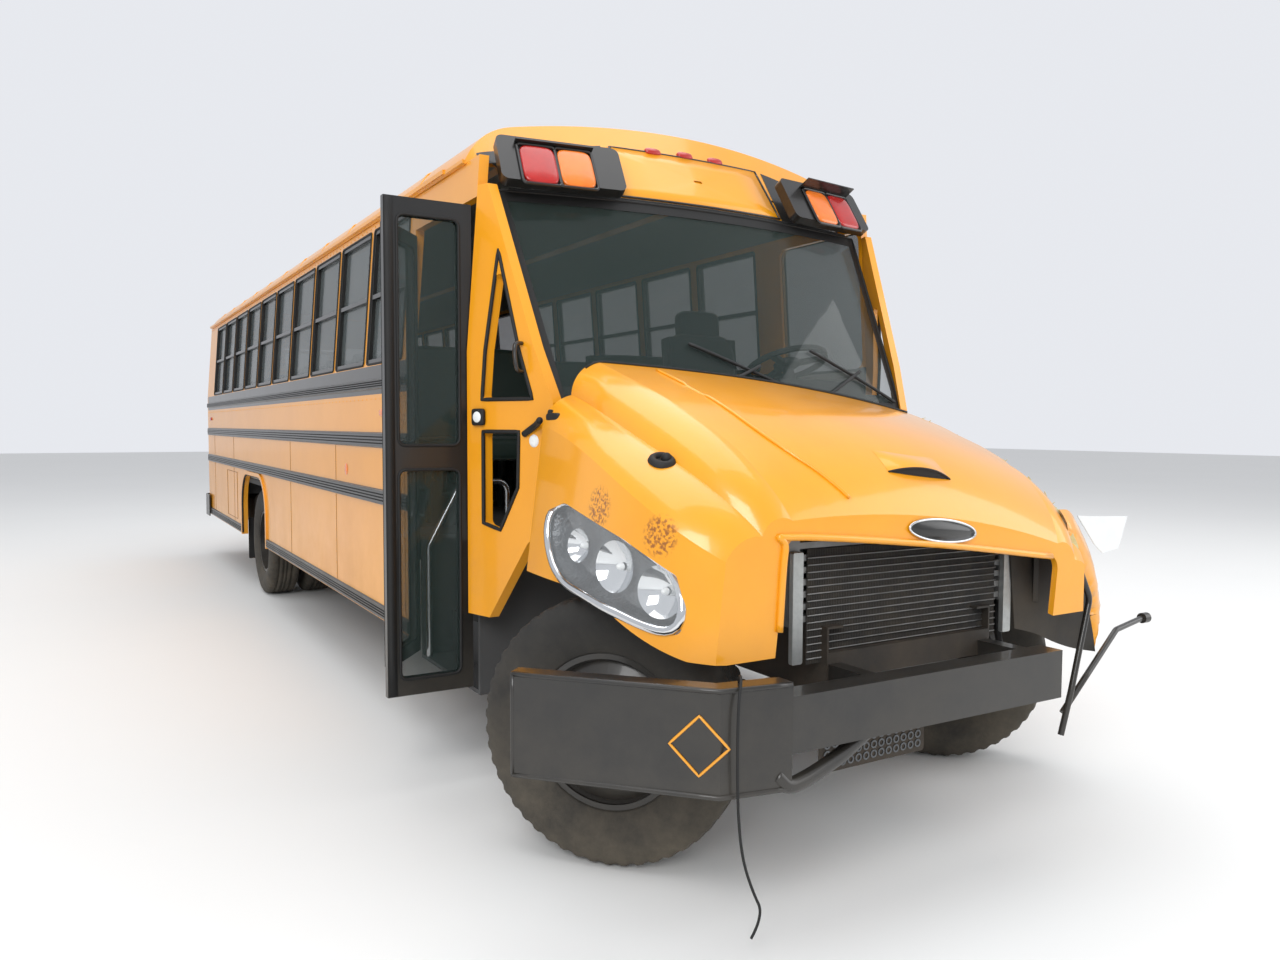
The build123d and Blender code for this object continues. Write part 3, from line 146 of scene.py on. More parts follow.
@dataclass(frozen=True)
class Finish:
    """One real material, with mottling, grain, dirt that thickens towards the ground, and stains.

    mottle_mm and grain_mm are the real sizes of the colour patches and of the surface texture.
    """
    name: str
    colour: str
    second: str
    mottle_mm: float = 300.0
    mottle: float = 0.35
    roughness: float = 0.4
    metallic: float = 0.0
    coat: float = 0.0
    grain_mm: float = 2.0
    grain: float = 0.05
    wear: Wear = Wear.CLEAN
    dirt: str = "8a7a62"
    dirt_top: float = 1.3
    transmission: float = 0.0
    alpha: float = 1.0
    sheen: float = 0.0
    ior: float = 1.5
    band: Band | None = None
    spots: tuple[Spot, ...] = ()

    def material(self) -> bpy.types.Material:
        """Builds the material once and returns it."""
        found = bpy.data.materials.get(self.name)
        if found is not None:
            return found
        made = bpy.data.materials.new(self.name)
        made.use_nodes = True
        tree = made.node_tree
        shader = next(n for n in tree.nodes if n.type == "BSDF_PRINCIPLED")
        coordinates = add_node(tree, "ShaderNodeTexCoord").outputs["Object"]
        patches = add_node(tree, "ShaderNodeTexNoise", None,
                           {"Vector": coordinates, "Scale": 1000.0 / self.mottle_mm, "Detail": 6.0,
                            "Roughness": 0.6})
        mottling = add_node(tree, "ShaderNodeMapRange", None,
                            {"Value": patches.outputs[0], "From Min": 0.42, "From Max": 0.68,
                             "To Min": 0.0, "To Max": self.mottle})
        colour = self._mix(tree, mottling.outputs[0], linear(self.colour), linear(self.second))
        height = add_node(tree, "ShaderNodeSeparateXYZ", None, {0: coordinates}).outputs[2]
        if self.band is not None:
            colour = self._banded(tree, height, colour)
        colour = self._stained(tree, coordinates, colour)
        rough: object = self.roughness
        if self.wear is not Wear.CLEAN:
            colour, rough = self._dirty(tree, coordinates, height, colour)
        tree.links.new(colour, shader.inputs["Base Color"])
        if isinstance(rough, bpy.types.NodeSocket):
            tree.links.new(rough, shader.inputs["Roughness"])
        else:
            shader.inputs["Roughness"].default_value = self.roughness
        shader.inputs["Metallic"].default_value = self.metallic
        shader.inputs["Coat Weight"].default_value = self.coat
        shader.inputs["Coat Roughness"].default_value = 0.08
        shader.inputs["Transmission Weight"].default_value = self.transmission
        shader.inputs["Alpha"].default_value = self.alpha
        shader.inputs["Sheen Weight"].default_value = self.sheen
        if self.metallic < 0.5:
            shader.inputs["IOR"].default_value = self.ior
        if self.grain > 0:
            texture = add_node(tree, "ShaderNodeTexNoise", None,
                               {"Vector": coordinates, "Scale": 1000.0 / self.grain_mm, "Detail": 3.0})
            bump = add_node(tree, "ShaderNodeBump", None,
                            {"Height": texture.outputs[0], "Strength": self.grain,
                             "Distance": self.grain_mm / 1000.0})
            tree.links.new(bump.outputs[0], shader.inputs["Normal"])
        return made

    def _mix(self, tree: bpy.types.NodeTree, factor: object, first: object,
             second: object) -> bpy.types.NodeSocket:
        """Mixes two colours by a factor and returns the colour socket."""
        mixed = add_node(tree, "ShaderNodeMix", {"data_type": "RGBA"}, {0: factor, 6: first, 7: second})
        return mixed.outputs[2]

    def _banded(self, tree: bpy.types.NodeTree, height: bpy.types.NodeSocket,
                colour: bpy.types.NodeSocket) -> bpy.types.NodeSocket:
        """Paints the stripe: its mask is one where low < z < high."""
        above = add_node(tree, "ShaderNodeMath", {"operation": "GREATER_THAN"},
                         {0: height, 1: self.band.low}).outputs[0]
        below = add_node(tree, "ShaderNodeMath", {"operation": "LESS_THAN"},
                         {0: height, 1: self.band.high}).outputs[0]
        mask = add_node(tree, "ShaderNodeMath", {"operation": "MULTIPLY"}, {0: above, 1: below}).outputs[0]
        return self._mix(tree, mask, colour, linear(self.band.colour))

    def _stained(self, tree: bpy.types.NodeTree, coordinates: bpy.types.NodeSocket,
                 colour: bpy.types.NodeSocket) -> bpy.types.NodeSocket:
        """Adds each stain: a ragged ring whose mask peaks at 0.8 of the radius."""
        for spot in self.spots:
            ragged = add_node(tree, "ShaderNodeTexNoise", None,
                              {"Vector": coordinates, "Scale": 90.0, "Detail": 5.0})
            away = add_node(tree, "ShaderNodeVectorMath", {"operation": "DISTANCE"},
                            {0: coordinates, 1: spot.centre}).outputs["Value"]
            ring = add_node(tree, "ShaderNodeMapRange", {"interpolation_type": "SMOOTHSTEP"},
                            {"Value": away, "From Min": spot.radius, "From Max": spot.radius * 0.6,
                             "To Min": 0.0, "To Max": 1.0}).outputs[0]
            speckle = add_node(tree, "ShaderNodeMapRange", None,
                               {"Value": ragged.outputs[0], "From Min": 0.45, "From Max": 0.6,
                                "To Min": 0.0, "To Max": 0.85}).outputs[0]
            mask = add_node(tree, "ShaderNodeMath", {"operation": "MULTIPLY"},
                            {0: ring, 1: speckle}).outputs[0]
            colour = self._mix(tree, mask, colour, linear(spot.colour))
        return colour

    def _dirty(self, tree: bpy.types.NodeTree, coordinates: bpy.types.NodeSocket,
               height: bpy.types.NodeSocket, colour: bpy.types.NodeSocket) -> tuple:
        """Adds dust whose amount is cloud noise times a fall from the ground to dirt_top."""
        clouds = add_node(tree, "ShaderNodeTexNoise", None,
                          {"Vector": coordinates, "Scale": 3.0, "Detail": 8.0, "Roughness": 0.7}).outputs[0]
        fall = add_node(tree, "ShaderNodeMapRange", None,
                        {"Value": height, "From Min": 0.1, "From Max": self.dirt_top,
                         "To Min": self.wear.value, "To Max": self.wear.value * 0.12}).outputs[0]
        patch = add_node(tree, "ShaderNodeMapRange", None,
                         {"Value": clouds, "From Min": 0.35, "From Max": 0.7, "To Min": 0.2,
                          "To Max": 1.0}).outputs[0]
        amount = add_node(tree, "ShaderNodeMath", {"operation": "MULTIPLY"}, {0: fall, 1: patch}).outputs[0]
        rough = add_node(tree, "ShaderNodeMapRange", None,
                         {"Value": amount, "From Min": 0.0, "From Max": 0.6,
                          "To Min": self.roughness, "To Max": 0.85}).outputs[0]
        return self._mix(tree, amount, colour, linear(self.dirt)), rough


# Sprayed enamel over steel: deep even yellow with a gloss coat and road dust low down
YELLOW_ENAMEL = Finish("yellow_enamel", "f0a010", "e2920c", 900, 0.5, 0.3, coat=0.5, grain_mm=6, grain=0.02,
                       wear=Wear.DUSTY, dirt="a08a5c")
# The same enamel on the side walls, with the black stripe below the windows
SIDE_ENAMEL = Finish("side_enamel", "f0a010", "e2920c", 900, 0.5, 0.3, coat=0.5, grain_mm=6, grain=0.02,
                     wear=Wear.DUSTY, dirt="a08a5c", band=Band(1.807, 1.972, "121212"))
# Painted fibreglass: the same yellow, slightly wavy, with brown stains where fittings were
HOOD_GEL = Finish("painted_fibreglass", "f2a20f", "e4930a", 500, 0.5, 0.27, coat=0.6, grain_mm=14, grain=0.03,
                  wear=Wear.DUSTY, dirt="b09460", dirt_top=1.0,
                  spots=(Spot((-1.1605, -4.821, 1.346), 0.085, "7a3d10"),
                         Spot((-1.1075, -5.14, 1.273), 0.08, "7a3d10")))
# Gloss enamel on steel, black, dusty
BLACK_ENAMEL = Finish("black_enamel", "141414", "1e1e1e", 400, 0.5, 0.28, coat=0.3, grain_mm=4, grain=0.02,
                      wear=Wear.DUSTY, dirt="6d6456", dirt_top=1.1)
# Chassis paint: satin black under brown road dirt
CHASSIS_PAINT = Finish("chassis_paint", "1a1917", "2b2722", 120, 0.7, 0.6, grain_mm=5, grain=0.15,
                       wear=Wear.ROAD_DIRT, dirt="5e5040", dirt_top=1.6)
# Sand-cast iron: rough dark grey
CAST_IRON = Finish("cast_iron", "2a2927", "3b3732", 60, 0.7, 0.7, 0.4, grain_mm=3, grain=0.4,
                   wear=Wear.DUSTY, dirt="5a4a38", dirt_top=2.0)
# Drawn aluminium of coolers: dull grey with dust. The same bright grey on the rub rails' edge lines is
# painted highlight
ALUMINIUM_AND_RAIL_HIGHLIGHT = Finish("aluminium_and_rail_highlight", "8c8d8d", "6c6c6a", 80, 0.6, 0.5, 0.9, grain_mm=2, grain=0.1,
                        wear=Wear.DUSTY, dirt="6d6150", dirt_top=2.0)
# Rusted spring steel: brown and matt
SPRING_STEEL = Finish("spring_steel", "332a23", "54402f", 40, 0.9, 0.8, 0.5, grain_mm=3, grain=0.4,
                      wear=Wear.DUSTY, dirt="5a4a38")
# Aluminised exhaust pipe: brownish grey
EXHAUST_PIPE = Finish("aluminised_pipe", "6a5f55", "4a3f36", 90, 0.8, 0.6, 0.7, grain_mm=3, grain=0.2)
# Ribbed rubber floor covering: matt black with scuffs
FLOOR_RUBBER = Finish("floor_rubber", "1c1c1c", "2a2927", 150, 0.6, 0.75, grain_mm=5, grain=0.3,
                      wear=Wear.DUSTY, dirt="6b6050", dirt_top=1.2)
# Coated fabric of benches: dark green vinyl with a leather grain
BENCH_VINYL = Finish("bench_vinyl", "22352e", "1b2b26", 250, 0.5, 0.48, grain_mm=3, grain=0.3, sheen=0.1)
# Woven wool cloth: charcoal
SEAT_CLOTH = Finish("seat_cloth", "2a2b2e", "222326", 60, 0.6, 0.9, grain_mm=2, grain=0.5, sheen=0.4)
# Moulded ABS: dark grey with a fine leather grain
MOULDED_ABS = Finish("moulded_abs", "1f2021", "262728", 200, 0.4, 0.6, grain_mm=2, grain=0.2)
# Polyurethane foam skin of the steering wheel: smooth black
WHEEL_SKIN = Finish("polyurethane_skin", "121212", "1a1a1a", 100, 0.4, 0.42, grain_mm=1.5, grain=0.1)
# Moulded polypropylene liner: matt black, dusty
LINER_PP = Finish("polypropylene", "161616", "232221", 160, 0.6, 0.62, grain_mm=4, grain=0.2,
                  wear=Wear.ROAD_DIRT, dirt="5d5344", dirt_top=1.5)
# Laminated glass: clear, faintly green
CLEAR_GLASS = Finish("laminated_glass", "33403d", "3a4744", 800, 0.3, 0.02, grain=0, alpha=0.34)
# Toughened glass, tinted: grey-green and see-through
TINTED_GLASS = Finish("tinted_glass", "1c2422", "222b29", 800, 0.3, 0.03, grain=0, alpha=0.55)
# Moulded polycarbonate lenses
RED_LENS = Finish("red_polycarbonate", "b3160f", "8f0e0a", 60, 0.4, 0.14, coat=0.5, grain_mm=4, grain=0.2)
AMBER_LENS = Finish("amber_polycarbonate", "ef7a1a", "d5640f", 60, 0.4, 0.14, coat=0.5, grain_mm=4, grain=0.2)
HEADLAMP_LENS = Finish("clear_polycarbonate", "f2f6f8", "e8eef0", 200, 0.3, 0.03, grain=0, alpha=0.14)
# Chromium plate on steel or plastic: mirror bright
CHROME = Finish("chromium_plate", "d9dbdd", "c8cacc", 60, 0.3, 0.09, 1.0, grain=0)
# The lamp's inner shell: plastic with a thin metal film, coloured dark grey as painted shade inside the lamp,
# dark between the bowls
SHADED_LAMP_BACKING = Finish("painted_shade_lamp_backing", "4b4e51", "3c3f42", 50, 0.6, 0.28, 0.6, grain_mm=20, grain=0.3)
# Stainless tube: brushed
STAINLESS = Finish("stainless_tube", "b9bbbd", "a6a8aa", 40, 0.4, 0.24, 1.0, grain_mm=1.5, grain=0.05)
# Retroreflective red sheet on aluminium
STOP_RED = Finish("red_sheeting", "b01515", "9b1010", 90, 0.3, 0.35, grain_mm=3, grain=0.1)
# Carbon-black tyre compound: matt, with pale dust
TYRE_RUBBER = Finish("tyre_compound", "1b1b1b", "262523", 90, 0.7, 0.78, grain_mm=4, grain=0.25,
                     wear=Wear.ROAD_DIRT, dirt="6f6657", dirt_top=0.9)
# Torn laminate: pale glass fibre and resin, rough
BROKEN_LAMINATE = Finish("broken_laminate", "c9bc8e", "b59a4a", 25, 0.8, 0.85, grain_mm=2, grain=0.5)
# Frosted white plastic of lamps, dials and sheeting
FROSTED = Finish("frosted_acrylic", "e9ebea", "dcdedd", 80, 0.3, 0.3, grain_mm=2, grain=0.05)
# Blackened cooler fins, dusty
COOLER_FINS = Finish("cooler_fins", "232323", "3a352d", 60, 0.7, 0.7, 0.3, grain_mm=1.5, grain=0.3,
                     wear=Wear.DUSTY, dirt="5a4f40", dirt_top=2.0)
# Galvanised sheet: pale grey spangle
GALVANISED = Finish("galvanised_sheet", "b4b6b4", "9da09f", 20, 0.5, 0.45, 0.8, grain_mm=2, grain=0.05)
# Expanded zinc sheet after years of road spray: dull grey
WEATHERED_ZINC = Finish("weathered_zinc", "6a6c6e", "55575a", 20, 0.5, 0.5, 0.8, grain_mm=2, grain=0.05)
# White-enamelled lining sheet
LINING = Finish("enamelled_lining", "83827b", "7a7972", 600, 0.3, 0.5, grain_mm=3, grain=0.05)
# Dark gap where two sheets meet
SEAM = Finish("sheet_seam", "8a5d0c", "7a520b", 200, 0.3, 0.6, grain=0)
# Extruded rubber seals: matt black
SEAL_RUBBER = Finish("seal_rubber", "111111", "1a1a1a", 90, 0.4, 0.66, grain_mm=3, grain=0.15)

NODE_FINISHES: dict[str, Finish] = {
    "chassis_frame": CHASSIS_PAINT, "radiator": ALUMINIUM_AND_RAIL_HIGHLIGHT, "front_axle": CHASSIS_PAINT,
    "rear_axle": CHASSIS_PAINT, "power_train": CAST_IRON, "engine_mounts": CHASSIS_PAINT,
    "leaf_springs": SPRING_STEEL,
    "fuel_tank": CHASSIS_PAINT, "exhaust": EXHAUST_PIPE, "floor": FLOOR_RUBBER, "stepwell": FLOOR_RUBBER,
    "side_wall_right": SIDE_ENAMEL, "side_wall_left": SIDE_ENAMEL, "roof": YELLOW_ENAMEL,
    "rear_wall": YELLOW_ENAMEL, "front_cap": YELLOW_ENAMEL, "lamp_housings": BLACK_ENAMEL,
    "cowl": YELLOW_ENAMEL, "windshield": CLEAR_GLASS, "body_glass": TINTED_GLASS,
    "window_sashes": BLACK_ENAMEL, "rub_rails": BLACK_ENAMEL, "bench_seats": BENCH_VINYL,
    "driver_seat": SEAT_CLOTH, "steering_wheel": WHEEL_SKIN, "dashboard": MOULDED_ABS,
    "handrail": STAINLESS, "front_bumper": BLACK_ENAMEL, "rear_bumper": BLACK_ENAMEL,
    "red_lamps": RED_LENS, "amber_lamps": AMBER_LENS, "roof_hatches": BLACK_ENAMEL, "hood": HOOD_GEL,
    "headlamp": HEADLAMP_LENS, "hood_liner": LINER_PP, "mirror_arm": BLACK_ENAMEL,
    "door_leaf_front": BLACK_ENAMEL, "door_glass_front": CLEAR_GLASS, "door_leaf_rear": BLACK_ENAMEL,
    "door_glass_rear": CLEAR_GLASS, "rear_door": YELLOW_ENAMEL, "rear_door_glass": TINTED_GLASS,
    "stop_arm": STOP_RED, "stop_bracket": BLACK_ENAMEL, "knuckle_right": CHASSIS_PAINT,
    "knuckle_left": CHASSIS_PAINT, "tie_rod": CHASSIS_PAINT, "tyre_front_right": TYRE_RUBBER,
    "tyre_front_left": TYRE_RUBBER, "rim_front_right": BLACK_ENAMEL, "rim_front_left": BLACK_ENAMEL,
    "tyres_rear_right": TYRE_RUBBER, "tyres_rear_left": TYRE_RUBBER, "rims_rear_right": BLACK_ENAMEL,
    "rims_rear_left": BLACK_ENAMEL,
}


def grid_faces(rows: int, columns: int, close_rows: bool = False, close_columns: bool = False) -> np.ndarray:
    """Indices of the quads of a grid of points.

    Args:
        rows: points along the first parameter.
        columns: points along the second.
        close_rows: whether the last row joins the first.
        close_columns: whether the last column joins the first.
    Returns:
        An array of shape (quads, 4).
    """
    i = np.arange(rows if close_rows else rows - 1)
    j = np.arange(columns if close_columns else columns - 1)
    i, j = np.meshgrid(i, j, indexing="ij")
    i, j = i.ravel(), j.ravel()
    up, across = (i + 1) % rows, (j + 1) % columns
    return np.stack((i * columns + j, i * columns + across, up * columns + across, up * columns + j), 1)


def add_piece(name: str, points: Points, faces: Sequence, finish: Finish, body: str,
              smooth: bool = True) -> bpy.types.Object:
    """Makes one mesh piece that rides on a body.

    Args:
        name: the piece's name.
        points: vertices in metres, row frame, shape (n, 3).
        faces: rows of vertex indices.
        finish: its finish.
        body: the CAD body that it moves with.
        smooth: whether faces are shaded smooth.
    Returns:
        The object.
    """
    mesh = bpy.data.meshes.new(name)
    mesh.from_pydata(np.asarray(points).reshape(-1, 3).tolist(), [], [list(map(int, f)) for f in faces])
    mesh.validate()
    mesh.materials.append(finish.material())
    mesh.polygons.foreach_set("use_smooth", np.full(len(mesh.polygons), smooth))
    made = bpy.data.objects.new(name, mesh)
    bpy.context.scene.collection.objects.link(made)
    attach(made, body)
    LOG.info("%s: %d faces on %s", name, len(mesh.polygons), body)
    return made


def merged(parts: Sequence[tuple[Points, np.ndarray]]) -> tuple[Points, list]:
    """Joins several (points, faces) into one pair, with indices shifted."""
    points, faces, start = [], [], 0
    for some, quads in parts:
        some = np.asarray(some).reshape(-1, 3)
        points.append(some)
        faces.extend((np.asarray(q) + start).tolist() for q in quads)
        start += len(some)
    return np.concatenate(points), faces


def tube(path: Sequence, radius: float | np.ndarray, sides: int = 12,
         caps: bool = True) -> tuple[Points, list]:
    """A round tube along a path: a circle carried along it on frames with the least twist.

    Args:
        path: centreline points, shape (n, 3).
        radius: one radius, or one for each point.
        sides: points round the circle.
        caps: whether the ends are closed.
    Returns:
        Points and faces.
    """
    path = np.asarray(path, float)
    along = np.gradient(path, axis=0)
    along /= np.linalg.norm(along, axis=1)[:, None]
    start = np.array((0.0, 0.0, 1.0)) if abs(along[0][2]) < 0.9 else np.array((1.0, 0.0, 0.0))
    normals = [np.cross(along[0], start)]
    for direction in along[1:]:
        carried = normals[-1] - direction * (normals[-1] @ direction)
        normals.append(carried)
    normals = np.array(normals)
    normals /= np.linalg.norm(normals, axis=1)[:, None]
    other = np.cross(along, normals)
    turn = np.linspace(0, 2 * np.pi, sides, endpoint=False)
    radii = np.broadcast_to(np.asarray(radius, float), (len(path),))[:, None, None]
    ring = normals[:, None] * np.cos(turn)[None, :, None] + other[:, None] * np.sin(turn)[None, :, None]
    points = path[:, None] + radii * ring
    faces = [list(f) for f in grid_faces(len(path), sides, close_columns=True)]
    if caps:
        faces.append(list(range(sides))[::-1])
        faces.append([(len(path) - 1) * sides + k for k in range(sides)])
    return points.reshape(-1, 3), faces


def smooth_path(corners: Sequence, steps: int = 12) -> Points:
    """A Catmull-Rom curve through corner points: each piece is a cubic of four neighbours."""
    p = np.asarray(corners, float)
    p = np.vstack((2 * p[0] - p[1], p, 2 * p[-1] - p[-2]))
    t = np.linspace(0, 1, steps, endpoint=False)[:, None]
    pieces = [0.5 * (2 * b + (c - a) * t + (2 * a - 5 * b + 4 * c - d) * t ** 2
                     + (3 * b - a - 3 * c + d) * t ** 3)
              for a, b, c, d in zip(p, p[1:], p[2:], p[3:])]
    return np.vstack((*pieces, p[-2][None]))


def prism(outline: Sequence, origin: Sequence, across: Sequence, up: Sequence, depth: float,
          edge: float = 0.0) -> tuple[Points, list]:
    """A flat plate with that outline: rings of the outline carried through its depth, drawn in at
    both faces by the edge's radius.

    Args:
        outline: (across, up) points in millimetres, anticlockwise.
        origin: where (0, 0) stands.
        across: the outline's first axis.
        up: its second axis.
        depth: how far it stands along across x up.
        edge: the bevel of its rims.
    Returns:
        Points and faces.
    """
    flat = np.asarray(outline, float)
    x, y = np.asarray(across, float), np.asarray(up, float)
    x, y = x / np.linalg.norm(x), y / np.linalg.norm(y)
    z = np.cross(x, y)
    centre = flat.mean(0)
    spread = np.abs(flat - centre).max()
    rings = [(1 - edge / spread, 0.0), (1.0, edge), (1.0, depth - edge), (1 - edge / spread, depth)]
    if edge == 0:
        rings = [(1.0, 0.0), (1.0, depth)]
    layers = [np.asarray(origin) + ((flat - centre) * scale + centre) @ np.stack((x, y)) + z * level
              for scale, level in rings]
    count = len(flat)
    faces = [list(f) for f in grid_faces(len(layers), count, close_columns=True)]
    faces.append(list(range(count))[::-1])
    faces.append([(len(layers) - 1) * count + k for k in range(count)])
    return np.concatenate(layers), faces


def rounded_rectangle(width: float, height: float, radius: float, steps: int = 5) -> Points:
    """Outline of a rectangle with arcs at its corners, anticlockwise, centred on zero."""
    turn = np.linspace(0, np.pi / 2, steps)
    arcs = []
    for k, (sx, sy) in enumerate(((1, 1), (-1, 1), (-1, -1), (1, -1))):
        middle = np.array((sx * (width / 2 - radius), sy * (height / 2 - radius)))
        angle = turn + k * np.pi / 2
        arcs.append(middle + radius * np.stack((np.cos(angle), np.sin(angle)), 1))
    return np.concatenate(arcs)


def lathe(profile: Sequence, origin: Sequence, axis: Sequence, segments: int = 48,
          closed: bool = False) -> tuple[Points, list]:
    """Turns a profile of (along, radius) points about an axis through origin.

    Args:
        profile: (along, radius) pairs in millimetres.
        origin: a point of the axis.
        axis: its direction.
        segments: steps round.
        closed: whether the profile's last point joins its first.
    Returns:
        Points and faces.
    """
    line = np.asarray(profile, float)
    axis = np.asarray(axis, float) / np.linalg.norm(axis)
    side = np.cross(axis, (0.0, 0.0, 1.0)) if abs(axis[2]) < 0.9 else np.cross(axis, (1.0, 0.0, 0.0))
    side /= np.linalg.norm(side)
    other = np.cross(axis, side)
    turn = np.linspace(0, 2 * np.pi, segments, endpoint=False)
    ring = side[None] * np.cos(turn)[:, None] + other[None] * np.sin(turn)[:, None]
    points = (np.asarray(origin) + line[:, None, 0:1] * axis + line[:, None, 1:2] * ring[None])
    faces = grid_faces(len(line), segments, close_rows=closed, close_columns=True)
    return points.reshape(-1, 3), faces.tolist()


@dataclass
class Studio:
    """Pale floor, soft lights and the camera at the photograph's place."""
    camera_at: tuple[float, float, float] = (-2749.0, -3217.0, 1629.0)
    yaw: float = 30.86
    pitch: float = -3.2
    roll: float = 0.23
    focal_px: float = 958.7

    def build(self) -> None:
        """Adds the floor, the lamps, the world and the camera."""
        self._floor()
        self._lights()
        self._camera()

    def _floor(self) -> None:
        """A pale square far larger than the bus."""
        half = 60000.0
        corners = np.array(((-half, -half, 0), (half, -half, 0), (half, half, 0), (-half, half, 0)))
        mesh = bpy.data.meshes.new("studio_floor")
        mesh.from_pydata(row(corners).tolist(), [], [(0, 1, 2, 3)])
        material = Finish("studio_paper", "e6e6e4", "e2e2e0", 3000, 0.3, 0.85, grain=0).material()
        mesh.materials.append(material)
        made = bpy.data.objects.new("studio_floor", mesh)
        bpy.context.scene.collection.objects.link(made)

    def _lights(self) -> None:
        """Three large soft lamps and an even pale world."""
        scene = bpy.context.scene
        scene.view_settings.view_transform = "Standard"
        world = bpy.data.worlds.new("studio_world")
        scene.world = world
        world.use_nodes = True
        tree = world.node_tree
        back = next(n for n in tree.nodes if n.type == "BACKGROUND")
        path = add_node(tree, "ShaderNodeLightPath")
        seen = add_node(tree, "ShaderNodeMath", {"operation": "MAXIMUM"},
                        {0: path.outputs["Is Camera Ray"], 1: path.outputs["Is Transmission Ray"]})
        strength = add_node(tree, "ShaderNodeMapRange", None,
                            {"Value": seen.outputs[0], "From Min": 0.0, "From Max": 1.0, "To Min": 0.75,
                             "To Max": 0.86})
        tree.links.new(strength.outputs[0], back.inputs["Strength"])
        back.inputs["Color"].default_value = (0.93, 0.95, 1.0, 1.0)
        for name, at, aim, size, power in (
                ("key", (-9000, -9000, 9000), (0, 2000, 1500), 7.0, 1150),
                ("sky", (0, 4000, 14000), (0, 4000, 0), 14.0, 1100),
                ("fill", (11000, -6000, 6000), (0, 3000, 1500), 9.0, 450)):
            lamp = bpy.data.lights.new(name, "AREA")
            lamp.size = size
            lamp.energy = power
            made = bpy.data.objects.new(name, lamp)
            made.location = row(at)
            made.rotation_euler = Vector(row(aim) - row(at)).to_track_quat("-Z", "Y").to_euler()
            scene.collection.objects.link(made)

    def _camera(self) -> None:
        """A camera turned by yaw, pitch and roll about the place of the photograph."""
        data = bpy.data.cameras.new("photo_camera")
        data.sensor_width = 36.0
        data.lens = self.focal_px / 1280.0 * 36.0
        data.clip_end = 300.0
        camera = bpy.data.objects.new("photo_camera", data)
        yaw, pitch, roll = np.radians((self.yaw, self.pitch, self.roll))
        forward = np.array((np.sin(yaw) * np.cos(pitch), np.cos(yaw) * np.cos(pitch), np.sin(pitch)))
        right = np.array((np.cos(yaw), -np.sin(yaw), 0.0))
        up = np.cross(right, forward)
        right, up = (np.cos(roll) * right + np.sin(roll) * up, np.cos(roll) * up - np.sin(roll) * right)
        turn = Matrix(np.stack((right, up, -forward), 1).tolist()).to_4x4()
        camera.matrix_world = Matrix.Translation(Vector(row(self.camera_at))) @ turn
        bpy.context.scene.collection.objects.link(camera)
        bpy.context.scene.camera = camera


class CadFinishes:
    """Gives every carried-over CAD node its finish."""

    def dress(self, nodes: dict[str, bpy.types.Object]) -> None:
        """Sets the material of each node."""
        for name, node in nodes.items():
            node.data.materials.clear()
            node.data.materials.append(NODE_FINISHES[name].material())


@dataclass
class Tyre:
    """A truck tyre: a lathe surface whose radius drops in ribs' grooves and shoulder cuts."""
    name: str
    body: str
    centre: Points
    axis: Points
    node: str
    radius: float = 505.0
    segments: int = 200

    def surface(self) -> tuple[Points, list]:
        """Closed tyre skin: radius(s, angle) = profile(s) - grooves(s) - cuts(s, angle)."""
        side = np.array(((105, 292), (112, 300), (124, 330), (136, 372), (140, 405), (137, 440), (129, 470),
                         (122, 484), (115, 494)), float)
        crown_x = np.array((104, 97, 93, 91, 66, 63, 55, 52, 22, 19, 11, 8, 0), float)
        crown_r = np.array((499, 501, 501.5, 502, 503, 491, 491, 503.5, 504, 492, 492, 504.5, 505), float)
        half = np.concatenate((side, np.stack((crown_x, crown_r), 1)))
        other = half[::-1][1:] * (-1, 1)
        inner = np.array(((-100, 300), (100, 300)), float)
        line = np.concatenate((half, other, inner))
        turn = np.linspace(0, 2 * np.pi, self.segments, endpoint=False)
        radii = np.repeat(line[:, 1:2], self.segments, 1)
        edge = np.abs(line[:, 0])
        shoulder = ((edge > 88) & (edge < 125) & (line[:, 1] > 480))[:, None]
        cut = (np.floor(turn / (2 * np.pi) * self.segments / 2) % 2 == 0)[None]
        radii = radii - 7.0 * (shoulder & cut)
        sipes = ((edge < 88) & (line[:, 1] > 495))[:, None] & (np.arange(self.segments) % 5 == 0)[None]
        radii = radii - 3.0 * sipes
        axis = self.axis / np.linalg.norm(self.axis)
        side_dir = np.cross(axis, (0.0, 0.0, 1.0))
        up = np.cross(axis, side_dir)
        ring = side_dir[None] * np.cos(turn)[:, None] + up[None] * np.sin(turn)[:, None]
        points = self.centre + line[:, None, 0:1] * axis + radii[:, :, None] * ring[None]
        faces = grid_faces(len(line), self.segments, close_rows=True, close_columns=True)
        return points.reshape(-1, 3), faces.tolist()

    def build(self) -> bpy.types.Object:
        """Makes the piece."""
        points, faces = self.surface()
        return add_piece(self.name, row(points), faces, TYRE_RUBBER, self.body)


class Wheels:
    """The six tyres, where the CAD wheels stand."""

    def build(self) -> None:
        """Builds each tyre and stands it for its CAD ring."""
        for side, name in ((1, "left"), (-1, "right")):
            axis = np.array((side * np.cos(REST_STEER), side * np.sin(REST_STEER), 0.0))
            centre = np.array((side * KINGPIN_X, 0.0, AXLE_Z)) + axis * 170.0
            tyre = Tyre(f"tyre_skin_front_{name}", f"wheel_front_{name}", centre, axis,
                        f"tyre_front_{name}").build()
            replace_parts(tyre, f"tyre_front_{name}")
            axis = np.array((float(side), 0.0, 0.0))
            twins = [Tyre(f"tyre_skin_{label}_{name}", f"wheel_rear_{name}",
                          np.array((side * x, WHEELBASE, AXLE_Z)), axis, f"tyres_rear_{name}").build()
                     for label, x in (("outer", 1020.0), ("inner", 680.0))]
            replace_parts(twins[0], f"tyres_rear_{name}")
            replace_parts(twins[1], f"tyres_rear_{name}")


